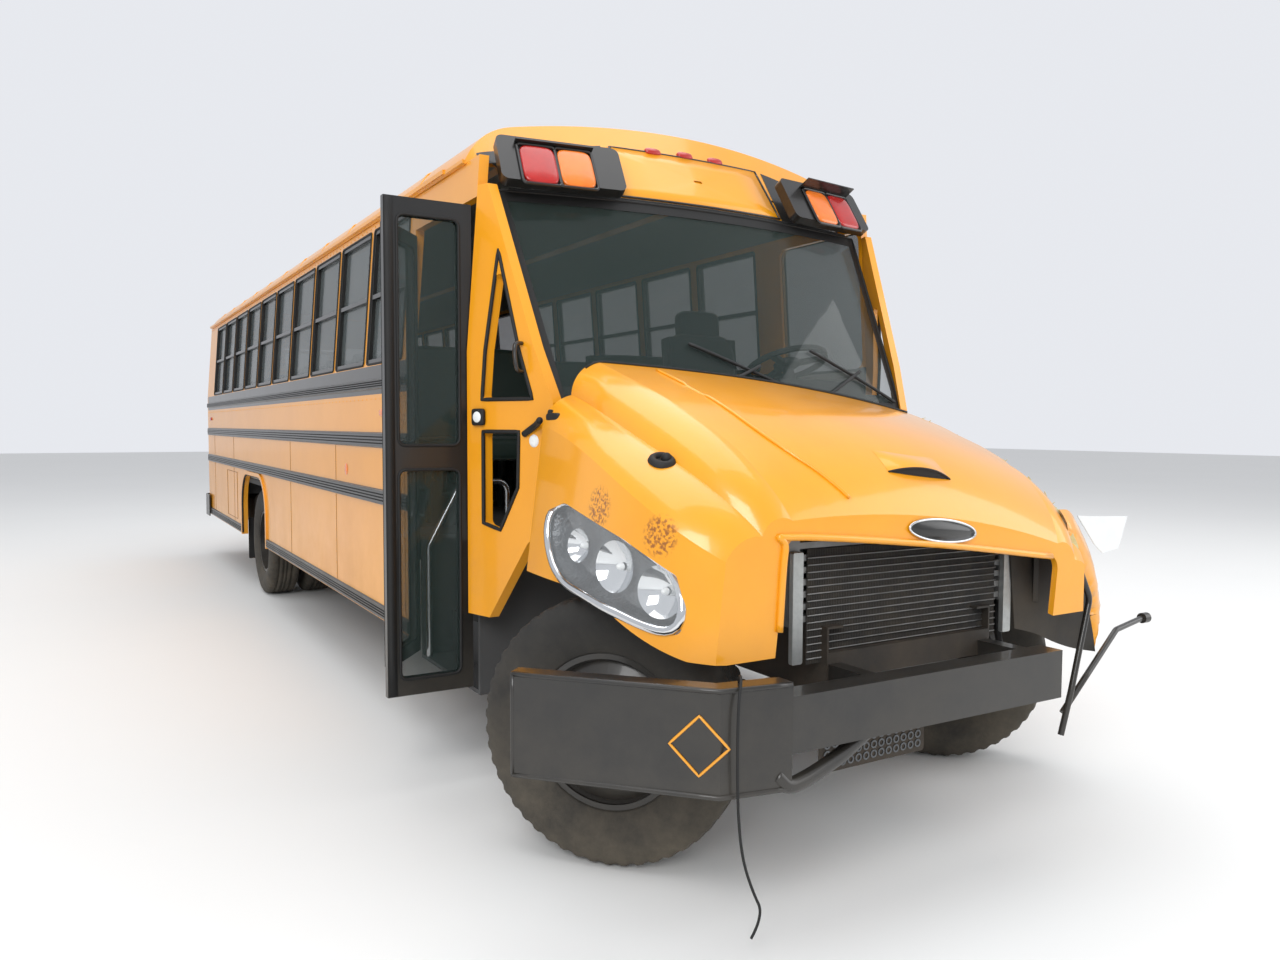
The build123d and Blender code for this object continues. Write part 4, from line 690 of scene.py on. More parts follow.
class Skin:
    """The outer surface of a carried-over CAD node, for laying pieces on it."""

    def __init__(self, nodes: dict[str, bpy.types.Object], *names: str) -> None:
        """Collects the meshes of the named nodes in drawing millimetres."""
        points, faces = [], []
        for name in names:
            node = nodes[name]
            start = len(points)
            points.extend(tuple(np.array(node.matrix_world @ v.co) * 1000.0 + ORIGIN)
                          for v in node.data.vertices)
            faces.extend([start + i for i in polygon.vertices] for polygon in node.data.polygons)
        self.tree = BVHTree.FromPolygons([Vector(p) for p in points], faces)

    def nearest(self, points: Sequence, lift: float = 0.0) -> Points:
        """Moves points to the nearest place on the skin, and out from it by lift."""
        found = []
        for point in np.asarray(points, float):
            place, normal, _, _ = self.tree.find_nearest(Vector(point))
            toward = np.array(point) - np.array(place)
            normal = np.array(normal)
            if toward @ normal < 0 and np.linalg.norm(toward) > 1.0:
                normal = -normal
            found.append(np.array(place) + normal * lift)
        return np.array(found)

    def drop(self, points: Sequence, direction: Sequence, lift: float = 0.0) -> Points:
        """Moves points along a direction until they meet the skin, or else to its nearest place
        800 mm along, then back by lift."""
        found = []
        way = Vector(direction).normalized()
        for point in np.asarray(points, float):
            place, _, _, _ = self.tree.ray_cast(Vector(point), way)
            if place is None:
                place, _, _, _ = self.tree.find_nearest(Vector(point) + way * 800.0)
            landed = np.array(place)
            found.append(landed - np.array(way) * lift)
        return np.array(found)


def dense(corners: Sequence, step: float = 25.0, closed: bool = False) -> Points:
    """Points at even steps along straight runs between corners."""
    p = np.asarray(corners, float)
    ends = np.vstack((p, p[:1])) if closed else p
    runs = []
    for a, b in zip(ends, ends[1:]):
        count = max(int(np.linalg.norm(b - a) / step), 1)
        runs.append(a + (b - a) * np.linspace(0, 1, count, endpoint=False)[:, None])
    if not closed:
        runs.append(ends[-1:])
    return np.vstack(runs)


def hoop(path: Points, radius: float, sides: int = 8) -> tuple[Points, list]:
    """A closed tube: rings of radius r on each point's plane across the path."""
    along = np.roll(path, -1, 0) - np.roll(path, 1, 0)
    along /= np.linalg.norm(along, axis=1)[:, None]
    centre = path.mean(0)
    out = path - centre
    out -= along * (out * along).sum(1)[:, None]
    out /= np.linalg.norm(out, axis=1)[:, None]
    other = np.cross(along, out)
    turn = np.linspace(0, 2 * np.pi, sides, endpoint=False)[None, :, None]
    points = path[:, None] + radius * (out[:, None] * np.cos(turn) + other[:, None] * np.sin(turn))
    return points.reshape(-1, 3), grid_faces(len(path), sides, True, True).tolist()


def ribbon(path: Points, width_dir: Sequence, width: float, face_dir: Sequence,
           thick: float) -> tuple[Points, list]:
    """A flat bar along a path: a rectangle width x thick carried along it without turning."""
    w, f = np.asarray(width_dir, float), np.asarray(face_dir, float)
    w, f = w / np.linalg.norm(w) * width / 2, f / np.linalg.norm(f) * thick
    ring = np.stack((-w, -w + f, w + f, w))
    points = (np.asarray(path)[:, None] + ring[None]).reshape(-1, 3)
    faces = grid_faces(len(path), 4, close_columns=True).tolist()
    faces += [[3, 2, 1, 0], [(len(path) - 1) * 4 + k for k in range(4)]]
    return points, faces


def dome(centre: Sequence, normal: Sequence, radius: float, height: float,
         segments: int = 12) -> tuple[Points, list]:
    """A low dome: radius r cos(t), height h sin(t) for t from 0 to a right angle."""
    t = np.linspace(0, np.pi / 2 * 0.98, 5)
    return lathe(np.stack((height * np.sin(t), radius * np.cos(t)), 1), centre, normal, segments)


def crowned(size: Sequence, centre: Sequence, tilt: float = 0.0, power: float = 5.0,
            crown: float = 0.12, steps: int = 14) -> tuple[Points, list]:
    """An upholstered block: a superellipsoid |x|^n + |y|^n + |z|^n = 1 whose broad faces swell.

    Args:
        size: full width, depth and height in millimetres.
        centre: its middle.
        tilt: lean about x in radians, top to the rear.
        power: n; the higher, the squarer.
        crown: swelling at the middle as a share of the thinnest side.
        steps: resolution of a face's side.
    Returns:
        Points and faces.
    """
    t = np.linspace(-1, 1, steps)
    a, b = np.meshgrid(t, t, indexing="ij")
    a, b = a.ravel(), b.ravel()
    one = np.ones_like(a)
    parts = []
    quads = grid_faces(steps, steps)
    for axis in range(3):
        for sign in (-1.0, 1.0):
            cube = np.empty((a.size, 3))
            cube[:, axis] = sign * one
            cube[:, (axis + 1) % 3] = a
            cube[:, (axis + 2) % 3] = b
            scale = (np.abs(cube) ** power).sum(1) ** (-1.0 / power)
            parts.append((cube * scale[:, None], quads if sign > 0 else quads[:, ::-1]))
    unit, faces = merged(parts)
    size = np.asarray(size, float)
    thin = int(np.argmin(size))
    others = [k for k in range(3) if k != thin]
    swell = (1 - unit[:, others[0]] ** 2) * (1 - unit[:, others[1]] ** 2)
    points = unit * size / 2
    points[:, thin] += np.sign(unit[:, thin]) * swell * crown * size[thin] * 0.5
    c, s = np.cos(tilt), np.sin(tilt)
    lean = np.array(((1, 0, 0), (0, c, s), (0, -s, c)))
    return points @ lean.T + np.asarray(centre, float), faces


def oriented(piece: tuple[Points, list], origin: Sequence, across: Sequence,
             up: Sequence) -> tuple[Points, list]:
    """Stands a piece made about zero on a place: its x along across, its z along up, its -y outward."""
    x, z = np.asarray(across, float), np.asarray(up, float)
    x, z = x / np.linalg.norm(x), z / np.linalg.norm(z)
    return piece[0] @ np.stack((x, np.cross(z, x), z)) + np.asarray(origin, float), piece[1]


def glass_point(u: np.ndarray, v: np.ndarray, lift: float = 0.0) -> Points:
    """A place on the windshield: u from -1 to 1 across, v from 0 at the cowl to 1 at the cap."""
    half, end_y, bow, z = 1000 + 85 * v, 390 + 490 * v, 120 + 30 * v, 1700 + 990 * v
    lean = np.array((0.0, -0.9, 0.44))
    base = np.stack((u * half, end_y - bow * (1 - u ** 2), z), -1)
    return base + lift * lean


def cap_point(x: np.ndarray, z: np.ndarray, lift: float = 0.0) -> Points:
    """A place on the front cap's leaning, bowed face."""
    base = np.stack((x, 730 + 130 * (x / 1020.0) ** 2 + 0.659 * (z - 2690.0), z), -1)
    return base + lift * np.array((0.0, -0.835, 0.55))


class Windshield:
    """Black border baked on the glass, rubber seal and two wipers."""

    def build(self) -> None:
        """Adds the pieces."""
        u, v = np.linspace(-1, 1, 41), np.linspace(0, 1, 25)
        bands = []
        for us, vs in ((u, np.array((0.0, 0.055))), (u, np.array((0.945, 1.0))),
                       (np.array((-1.0, -0.95)), v), (np.array((0.95, 1.0)), v)):
            uu, vv = np.meshgrid(us, vs, indexing="ij")
            points = np.concatenate((glass_point(uu.ravel(), vv.ravel(), 2.5),
                                     glass_point(uu.ravel(), vv.ravel(), 1.0)))
            quads = grid_faces(len(us), len(vs))
            bands.append((points[:uu.size], quads))
            bands.append((points[uu.size:], quads[:, ::-1]))
        points, faces = merged(bands)
        add_piece("windshield_border", row(points), faces, SEAL_RUBBER, BODY)
        edge = np.concatenate((np.stack((u, 0 * u), 1), np.stack((0 * v + 1, v), 1)[1:],
                               np.stack((u[::-1], 0 * u + 1), 1)[1:],
                              np.stack((0 * v - 1, v[::-1]), 1)[1:-1]))
        points, faces = hoop(glass_point(edge[:, 0] * 0.995, 0.005 + edge[:, 1] * 0.99, 2.0), 7.0)
        add_piece("windshield_seal", row(points), faces, SEAL_RUBBER, BODY)
        parts = []
        for pivot, tip in ((-0.42, 0.22), (0.28, 0.86)):
            start = glass_point(np.array(pivot), np.array(0.01), 28)
            end = glass_point(np.array((pivot + tip) / 2 + 0.12), np.array(0.20), 30)
            parts.append(tube(smooth_path((start, (start + end) / 2 + (0, -8, 4), end)), 8, 8))
            blade = np.linspace(pivot + 0.10, tip + 0.08, 20)
            parts.append(tube(glass_point(blade, np.linspace(0.30, 0.055, 20), 13), 8, 6))
            parts.append(dome(start - (0, -14, 10), (0, -0.9, 0.44), 24, 26, 16))
        points, faces = merged(parts)
        add_piece("wipers", row(points), faces, MOULDED_ABS, BODY)


class FrontCap:
    """Blank sign panel, marker lamps, black corners, lamp lenses and their visors."""

    def __init__(self, nodes: dict[str, bpy.types.Object]) -> None:
        """Takes the cap's skin from the CAD nodes."""
        self.skin = Skin(nodes, "front_cap")

    def _patches(self) -> None:
        """Black paint on both corners of the cap, a grid of points dropped on its face from ahead."""
        parts = []
        for side in (-1, 1):
            xs, zs = np.linspace(490, 1104, 26), np.linspace(0, 1, 14)
            grid = [(side * x, 0.0, 2696 + (294 - 0.18 * (x - 490)) * z) for x in xs for z in zs]
            quads = grid_faces(26, 14)
            parts.append((self.skin.drop(grid, (0, 1, 0), 2.0), quads if side > 0 else quads[:, ::-1]))
        points, faces = merged(parts)
        add_piece("cap_corner_paint", row(points), faces, BLACK_ENAMEL, BODY)

    def _lenses(self) -> None:
        """Oblong lenses on the leaning faces and at the back, in a black frame with a visor above."""
        frames = []
        for name, node, share, width, finish, slot in (
                ("red", "red_lamps", -115, 166, RED_LENS, "red_lens"),
                ("amber", "amber_lamps", 60, 166, AMBER_LENS, "amber_lens")):
            lenses = []
            for side in (-1, 1):
                normal = np.array((side * 0.116, -0.85, 0.515))
                normal /= np.linalg.norm(normal)
                across = np.array((1.0, side * 0.14, 0.0)) / np.hypot(1.0, 0.14)
                up = np.cross(normal, across)
                corner_foot = np.array((side * 782.0, 808.0, 2797.0))
                foot = corner_foot + normal * 50 - across * side * share - up * 36
                lenses.append(oriented(crowned((width, 34, 218), (0, 0, 0), 0.0, 5.0), foot, across, up))
                flat = rounded_rectangle(width + 12, 232, 18)
                path = foot + flat[:, :1] * across + flat[:, 1:] * up
                frames.append(hoop(path + normal * 6, 7.0, 8))
                back = np.array((side * (-share + 690.0 if name == "red" else 560.0), 10003.0, 2800.0))
                lenses.append(oriented(crowned((188, 40, 168), (0, 0, 0), 0.0, 5.0), back,
                                       (-1, 0, 0), (0, 0, 1)))
                if name == "red":
                    lenses.append(oriented(crowned((178, 36, 178), (0, 0, 0), 0.0, 5.0),
                                           (side * 1000, 10003, 1560), (-1, 0, 0), (0, 0, 1)))
                    middle = foot - across * side * 88 + up * 122
                    edge = middle + across * np.array((-185.0, 185.0))[:, None]
                    depth = normal * (74 if side > 0 else 30)
                    corner = edge[0]
                    frames.append(merged([(np.stack((corner, edge[1], edge[1] + depth, corner + depth,
                                                     corner + up * 9, edge[1] + up * 9,
                                                     edge[1] + depth + up * 6, corner + depth + up * 6)),
                                           np.array(((0, 1, 2, 3), (7, 6, 5, 4), (0, 4, 5, 1), (1, 5, 6, 2),
                                                     (2, 6, 7, 3), (3, 7, 4, 0))))]))
            points, faces = merged(lenses)
            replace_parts(add_piece(f"{name}_lenses", row(points), faces, finish, BODY), node)
        points, faces = merged(frames)
        add_piece("lamp_frames", row(points), faces, BLACK_ENAMEL, BODY, False)

    def build(self) -> None:
        """Adds the pieces."""
        corners = ((-470, 2712), (470, 2712), (440, 2985), (-440, 2985))
        outline = dense([(*c, 0) for c in corners], 40, closed=True)[:, :2]
        middle = np.array((0.0, 2848.0))
        rings = [cap_point(*(middle + (outline - middle) * s).T, lift=lift)
                 for s, lift in ((1.0, 0.5), (0.985, 7.0), (0.6, 7.0), (0.05, 7.0))]
        faces = grid_faces(4, len(outline), close_columns=True).tolist()
        add_piece("sign_panel", row(np.concatenate(rings)), faces, YELLOW_ENAMEL, BODY)
        path = cap_point(*(middle + (outline - middle) * 1.012).T, lift=4.0)
        points, faces = hoop(path, 6.0)
        add_piece("sign_border", row(points), faces, BLACK_ENAMEL, BODY)
        lean, level = (0.0, 0.55, 0.835), (1.0, 0.0, 0.0)
        markers = [oriented(crowned((92, 34, 40), (0, 0, 0), 0.0, 3.5, steps=8), at, level, lean)
                   for at in ((-205, 934, 2992), (-14, 934, 3000), (177, 940, 3000))]
        points, faces = merged(markers)
        add_piece("marker_lamps", row(points), faces, RED_LENS, BODY)
        self._patches()
        self._lenses()
        strip = cap_point(np.linspace(-1010, 1010, 41), np.full(41, 2696.0), 1.0)
        points, faces = tube(strip, 7.0, 6)
        add_piece("cap_seal", row(points), faces, SEAL_RUBBER, BODY)


# The headlamp's edge in the drawing's millimetres: forward along its top, down its front and
# back along its foot
LAMP_EDGE = ((-1086, 133, 1339), (-1090, -88, 1300), (-1094, -333, 1250), (-1079, -488, 1198),
             (-1053, -588, 1155), (-1062, -650, 1100), (-1066, -686, 1042), (-1079, -678, 981),
             (-1108, -641, 961), (-1144, -562, 978), (-1183, -374, 1009), (-1190, -219, 1032),
             (-1187, -64, 1052), (-1178, 48, 1099), (-1165, 127, 1188),
             (-1152, 150, 1280), (-1110, 170, 1318))


class Hood:
    """Fittings on the hood: lamp, vent, blank badge, latch, crease and what is left of the torn side."""

    def __init__(self, nodes: dict[str, bpy.types.Object]) -> None:
        """Takes the hood's skin from the CAD nodes."""
        self.skin = Skin(nodes, "hood", "headlamp")
        self.across = np.array((np.cos(HOOD_LEAN), 0.0, -np.sin(HOOD_LEAN)))
        self.up = np.array((np.sin(HOOD_LEAN), 0.0, np.cos(HOOD_LEAN)))

    def build(self) -> None:
        """Adds the pieces."""
        self._lamp()
        self._vent()
        self._badge()
        self._fittings()
        self._mouth()
        self._torn_edge()

    def _lamp(self) -> None:
        """Chrome bezel and bowls, backing and bulbs inside the clear cover."""
        path = self.skin.nearest(dense(LAMP_EDGE, 25, closed=True), 1.0)
        for _ in range(4):
            path = (np.roll(path, 1, 0) + 2 * path + np.roll(path, -1, 0)) / 4
        points, faces = hoop(path, 17.0, 12)
        add_piece("headlamp_bezel", row(points), faces, CHROME, "hood")
        inward = np.array((0.93, 0.36, 0.0))
        middle = path.mean(0)
        rims = [middle + (path - middle) * scale + inward * depth
                for scale, depth in ((1.0, 3.0), (0.93, 44.0), (0.5, 58.0), (0.02, 60.0))]
        faces = grid_faces(4, len(path), close_columns=True)
        # The backing's dark grey is painted shade inside the lamp, not the shell's own colour.
        add_piece("headlamp_backing", row(np.concatenate(rims)), faces.tolist(), SHADED_LAMP_BACKING,
                  "hood")
        bowls, bulbs = [], []
        for centre, normal, radius in (((-1113, -600, 1092), (-0.88, -0.46, 0.08), 88),
                                       ((-1160, -380, 1150), (-0.95, -0.28, 0.08), 90),
                                       ((-1166, -120, 1195), (-0.97, -0.2, 0.08), 62)):
            axis = np.array(normal) / np.linalg.norm(normal)
            place = self.skin.nearest([centre])[0] - axis * 14
            t = np.linspace(1, 0.06, 9)
            bowls.append(lathe(np.stack((-44 * (1 - t ** 2), radius * t), 1), place, axis, 32))
            bulbs.append(dome(place - axis * 38, axis, 13, 26, 14))
        points, faces = merged(bowls)
        add_piece("headlamp_bowls", row(points), faces, CHROME, "hood")
        points, faces = merged(bulbs)
        add_piece("headlamp_bulbs", row(points), faces, FROSTED, "hood")

    def _vent(self) -> None:
        """A low scoop: the skin lifted by 30 (1 - s^2) sin(t), with a dark slot under its front rim."""
        s, t = np.meshgrid(np.linspace(-1, 1, 31), np.linspace(0, 1, 12), indexing="ij")
        s, t = s.ravel(), t.ravel()
        base = np.array((16.0, -560.0, 1540.0)) + np.outer(s * 165, self.across)
        base[:, 1] -= 92 * t + 6 * (1 - s ** 2)
        ground = self.skin.drop(base + (0, 0, 300), (0, 0, -1))
        lift = 34 * (1 - s ** 2) * np.sin(t * np.pi / 2)
        roof = ground + lift[:, None] * np.array((0.05, -0.45, 0.89)) + (0, 0, 0.8)
        add_piece("scoop_roof", row(roof), grid_faces(31, 12).tolist(), HOOD_GEL, "hood")
        last = np.isclose(t, 1.0)
        slot = np.concatenate((ground[last] + (0, -2, 0), roof[last] + (0, 3, -3)))
        points, faces = merged([(slot, grid_faces(2, 31)), tube(roof[last], 4.0, 6)])
        add_piece("scoop_slot", row(points), faces, SEAL_RUBBER, "hood", False)

    def _badge(self) -> None:
        """A blank oval plate with a bright rim."""
        turn = np.linspace(0, 2 * np.pi, 60, endpoint=False)
        oval = np.stack((175 * np.cos(turn), 41 * np.sin(turn)), 1)
        origin = np.array((20.0, -761.0, 1249.0))
        points, faces = prism(oval, origin, self.across, self.up, 9, 2)
        add_piece("badge_plate", row(points), faces, BLACK_ENAMEL, "hood")
        path = origin + oval[:, :1] * self.across + oval[:, 1:] * self.up + np.array((0, -7, 0))
        points, faces = hoop(path, 5.0)
        add_piece("badge_rim", row(points), faces, CHROME, "hood")

    def _fittings(self) -> None:
        """Grommet, latch, crease and rear edge seal."""
        place = self.skin.nearest([(-991, -422, 1510)], 1.0)[0]
        normal = (-0.13, -0.44, 0.89)
        grommet = ((-3, 50), (8, 46), (15, 38), (14, 26), (3, 22), (-2, 20))
        points, faces = merged([lathe(grommet, place, normal, 32), dome(place, normal, 24, 2, 16),
                                dome(place + (18, 0, 6), normal, 20, 24, 16)])
        add_piece("mirror_hole_grommet", row(points), faces, SEAL_RUBBER, "hood")
        latch = self.skin.nearest([(-1080, 240, 1660)], 6.0)[0]
        points, faces = merged([crowned((24, 110, 36), latch, 0.0, 4.0),
                                crowned((20, 26, 64), latch + (2, 30, 0), 0.0, 4.0)])
        add_piece("hood_latch", row(points), faces, SEAL_RUBBER, "hood")
        crease = smooth_path(((-655, 160, 1850), (-650, -20, 1800), (-640, -190, 1740), (-622, -431, 1625),
                              (-569, -568, 1544), (-486, -659, 1465), (-411, -722, 1379)), 8)
        points, faces = tube(self.skin.nearest(crease, -3.0), 7.0, 8)
        add_piece("hood_crease", row(points), faces, HOOD_GEL, "hood")
        rear = self.skin.drop([(x, 183 + 155 * (x / 1300.0) ** 2, 2300) for x in np.linspace(-930, 890, 50)],
                              (0, 0, -1), 3.0)
        points, faces = tube(rear, 7.0, 6)
        add_piece("hood_rear_seal", row(points), faces, SEAL_RUBBER, "hood")

    def _mouth(self) -> None:
        """The rolled rim of the grille opening, a tube round it in the hood's leaning frame."""
        corners = ((-712, -330), (-722, -60), (-690, -14), (0, -2), (660, -14))
        path = smooth_path([np.array((0, -764, 1200)) + self.across * a + self.up * b
                            for a, b in corners], 10)
        points, faces = tube(path, 13.0, 10)
        add_piece("mouth_rim", row(points), faces, HOOD_GEL, "hood")

    def _torn_edge(self) -> None:
        """Ragged broken laminate: two uneven rows hang from the edge, with threads at some places."""
        rng = np.random.default_rng(7)
        plan = dense([(x - 10, y, 2300) for x, y in ((950, 235), (985, 120), (905, -60), (960, -240),
                                                     (880, -380), (935, -520), (850, -640), (903, -715))], 16)
        top = self.skin.drop(plan, (0, 0, -1), -2.0)
        count = len(top)
        out = np.stack((rng.uniform(4, 34, count), rng.uniform(-16, 16, count),
                        -rng.uniform(2, 30, count)), 1)
        low = top + np.array((0, 0, -26.0))
        rows = np.concatenate((top, top + out, low + out * 0.8, low))
        add_piece("torn_laminate", row(rows), grid_faces(4, count, close_rows=True).tolist(), BROKEN_LAMINATE,
                  "hood", smooth=False)
        threads = []
        for k in range(0, count, 3):
            start = top[k] + out[k] * 0.8
            middle = start + rng.uniform(-14, 22, 3)
            tip = start + rng.uniform(-20, 45, 3) * (1, 1, -1)
            threads.append(tube(smooth_path((start, middle, tip), 4), 1.6, 5))
        points, faces = merged(threads)
        add_piece("torn_threads", row(points), faces, BROKEN_LAMINATE, "hood")
        shard = ((1050, 1246), (1180, 1110), (1240, 1068), (1358, 1083), (1419, 1227), (1130, 1240))
        points, faces = prism(shard, (0, -600, 0), (1, 0, 0), (0, 0, 1), 3, 0)
        add_piece("hanging_shard", row(points), faces, FROSTED, "hood", smooth=False)
        self._fender_remains()
        self._arch_liner()

    def _arch_liner(self) -> None:
        """The torn wheel arch liner: a sheet between two lines, rippled by 12 sin(7 s) cos(4 t)."""
        top = smooth_path(((560, 0, 1120), (700, 0, 1116), (850, 0, 1110), (985, 0, 1100),
                           (1020, 0, 1070)), 6)
        low = smooth_path(((600, 0, 800), (730, 0, 765), (860, 0, 715), (1000, 0, 670), (1144, 0, 640)), 6)
        t, s = np.meshgrid(np.linspace(0, 1, 11), np.linspace(0, 1, len(top)), indexing="ij")
        sheet = top[None] * (1 - t[..., None]) + low[None] * t[..., None]
        sheet[..., 1] = -640 + 12 * np.sin(7 * s) * np.cos(4 * t)
        front, quads = sheet.reshape(-1, 3), grid_faces(11, len(top))
        points, faces = merged([(front, quads), (front + (0, 4, 0), quads[:, ::-1])])
        add_piece("torn_arch_liner", row(points), faces, LINER_PP, "hood")

    def _fender_remains(self) -> None:
        """The torn strip of the fender: an uneven band between two ragged lines, curling to the rear."""
        rng = np.random.default_rng(11)
        outer = np.array(((850, 1285), (950, 1272), (1052, 1196), (1150, 1105), (1215, 1010), (1265, 880),
                          (1275, 800), (1240, 720), (1160, 640)), float)
        inner = np.array(((850, 1120), (900, 1085), (945, 1030), (1000, 975), (1050, 915), (1085, 850),
                          (1105, 790), (1125, 710), (1150, 636)), float)
        outer = smooth_path([(*p, 0) for p in outer], 5)[:, :2]
        inner = smooth_path([(*p, 0) for p in inner], 5)[:, :2]
        count = len(outer)
        inner = inner + rng.uniform(-16, 16, inner.shape)
        outer = outer + rng.uniform(-7, 7, outer.shape) * np.linspace(0, 1, count)[:, None]
        share = np.linspace(0, 1, 7)[:, None, None]
        flat = outer[None] * (1 - share) + inner[None] * share
        depth = -655 + 0.22 * (flat[..., 0] - 850) - 46 * np.sin(share[..., 0] * np.pi)
        front = np.stack((flat[..., 0], depth, flat[..., 1]), -1).reshape(-1, 3)
        quads = grid_faces(7, count)
        add_piece("fender_remains", row(front), quads.tolist(), HOOD_GEL, "hood")
        back = front + (0, 7, 0)
        edge = np.concatenate((np.arange(6 * count, 7 * count), [6 * count - 1, 5 * count - 1]))
        points, faces = merged([(back, quads[:, ::-1]), tube(front[edge] + (0, 3, 0), 6.0, 6)])
        add_piece("fender_remains_back", row(points), faces, BROKEN_LAMINATE, "hood", False)


@dataclass(frozen=True)
class LooseWire:
    """A wire that the crash pulled out: it hangs over the bumper's top edge to just above the ground.

    Attributes:
        length: its length in metres, measured along its line.
        diameter: its diameter in metres.
        route: the control points of its line, in the drawing's millimetres: up behind the beam,
            over its top edge, then down in front as the photograph shows it.
    """

    length: float = 0.983
    diameter: float = 0.009
    route: tuple = ((-985, -868, 790), (-1012, -900, 872), (-1036, -948, 884), (-1062, -966, 800),
                    (-1063, -966, 600), (-1054, -962, 450), (-1034, -958, 325), (-990, -952, 215),
                    (-940, -945, 125), (-985, -940, 60))

    def build(self) -> None:
        """Adds the wire as one NURBS spline that has the route's points as its control points."""
        points = row(np.array(self.route, float))
        curve = bpy.data.curves.new("loose_wire", "CURVE")
        curve.dimensions, curve.resolution_u, curve.bevel_resolution = "3D", 12, 3
        curve.bevel_depth, curve.use_fill_caps = self.diameter / 2, True
        spline = curve.splines.new("NURBS")
        spline.points.add(len(points) - 1)
        spline.points.foreach_set("co", np.column_stack((points, np.ones(len(points)))).ravel())
        spline.order_u, spline.use_endpoint_u = 3, True
        curve.materials.append(SEAL_RUBBER.material())
        wire = bpy.data.objects.new("loose_wire", curve)
        bpy.context.scene.collection.objects.link(wire)
        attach(wire, BODY)
        LOG.info("loose_wire: %.3f m on %s", self.length, BODY)


class Nose:
    """Cooler fins and brackets, bumper fittings and the bare parts behind the missing grille."""

    def build(self) -> None:
        """Adds the pieces."""
        x = np.linspace(-500, 500, 251)
        y = -613.0 - 3.0 * (np.arange(251) % 2)
        z = np.linspace(780, 1195, 2)
        xx, zz = np.meshgrid(x, z, indexing="ij")
        points = np.stack((xx, np.repeat(y[:, None], 2, 1), zz), -1).reshape(-1, 3)
        add_piece("cooler_fins", row(points), grid_faces(251, 2).tolist(), COOLER_FINS,
                  BODY, False)
        tubes = [tube(dense(((-500, -618, h), (500, -618, h)), 250), 3.0, 5)
                 for h in np.arange(800, 1190, 26.0)]
        points, faces = merged(tubes)
        add_piece("cooler_tubes", row(points), faces, ALUMINIUM_AND_RAIL_HIGHLIGHT, BODY)
        parts = [prism(rounded_rectangle(46, 400, 6), (side * 556, -612, 990), (1, 0, 0), (0, 0, 1), 22, 2)
                 for side in (-1, 1)]
        points, faces = merged(parts)
        add_piece("cooler_brackets", row(points), faces, GALVANISED, BODY, False)
        hoses = [tube(smooth_path(((-380, -520, 1170), (-420, -430, 1200), (-380, -330, 1230),
                                   (-300, -280, 1230))), 28, 14),
                 tube(smooth_path(((430, -540, 800), (520, -460, 760), (560, -330, 800),
                                   (480, -240, 900))), 30, 14),
                 tube(smooth_path(((560, -600, 1130), (640, -560, 1060), (640, -520, 900), (600, -560, 760),
                                   (560, -620, 700))), 14, 10)]
        points, faces = merged(hoses)
        add_piece("cooler_hoses", row(points), faces, SEAL_RUBBER, BODY)
        self._bumper()

    def _bumper(self) -> None:
        """Blank diamond outline, punched plate under the beam, folded rims and a bent tube in front."""
        centre = np.array((-1144.0, -883.0, 672.0))
        across, up = np.array((0.68, -0.74, 0.0)), np.array((0.0, 0.0, 1.0))
        diamond = dense([centre + 92 * d for d in (across, up, -across, -up)], 12, closed=True)
        points, faces = hoop(diamond + np.array((-0.74, -0.68, 0)) * 1.5, 4.5, 6)
        add_piece("bumper_diamond", row(points), faces, YELLOW_ENAMEL, BODY)
        plate = []
        for k in range(13):
            for j in range(3):
                at = (-566 + 36 * k, -803, 486 + 34 * j + 0.3 * k)
                plate.append(lathe(((0, 15), (4, 15), (4, 9), (0, 9)), at, (0, -1, 0), 12, True))
        points, faces = merged(plate)
        add_piece("punched_plate_rings", row(points), faces, WEATHERED_ZINC, BODY, False)
        points, faces = prism(rounded_rectangle(500, 124, 12), (-350, -800, 520), (1, 0, 0), (0, 0, 1), 4, 0)
        add_piece("punched_plate", row(points), faces, CHASSIS_PAINT, BODY, False)
        rims = [tube(dense(((-1552, -430, z), (-1100, -928, z), (-862, -972, z)), 60), 9.0, 8)
                for z in (BUMPER_LOW_Z, BUMPER_HIGH_Z)]
        rims.append(tube(dense(((-1552, -430, BUMPER_LOW_Z), (-1552, -430, BUMPER_HIGH_Z)), 60), 9.0, 8))
        rims.append(tube(smooth_path(((-905, -948, 560), (-840, -955, 520), (-640, -930, 560),
                                      (-400, -900, 640), (-60, -900, 660))), 26, 12))
        points, faces = merged(rims)
        add_piece("bumper_rims", row(points), faces, BLACK_ENAMEL, BODY)


def wall_x(z: np.ndarray | float) -> np.ndarray | float:
    """Half width of the body at a height: upright to the belt, then leaning in to the gutter."""
    return HALF_WIDTH - np.maximum(np.asarray(z, float) - BELT_Z, 0.0) * 65.0 / 870.0


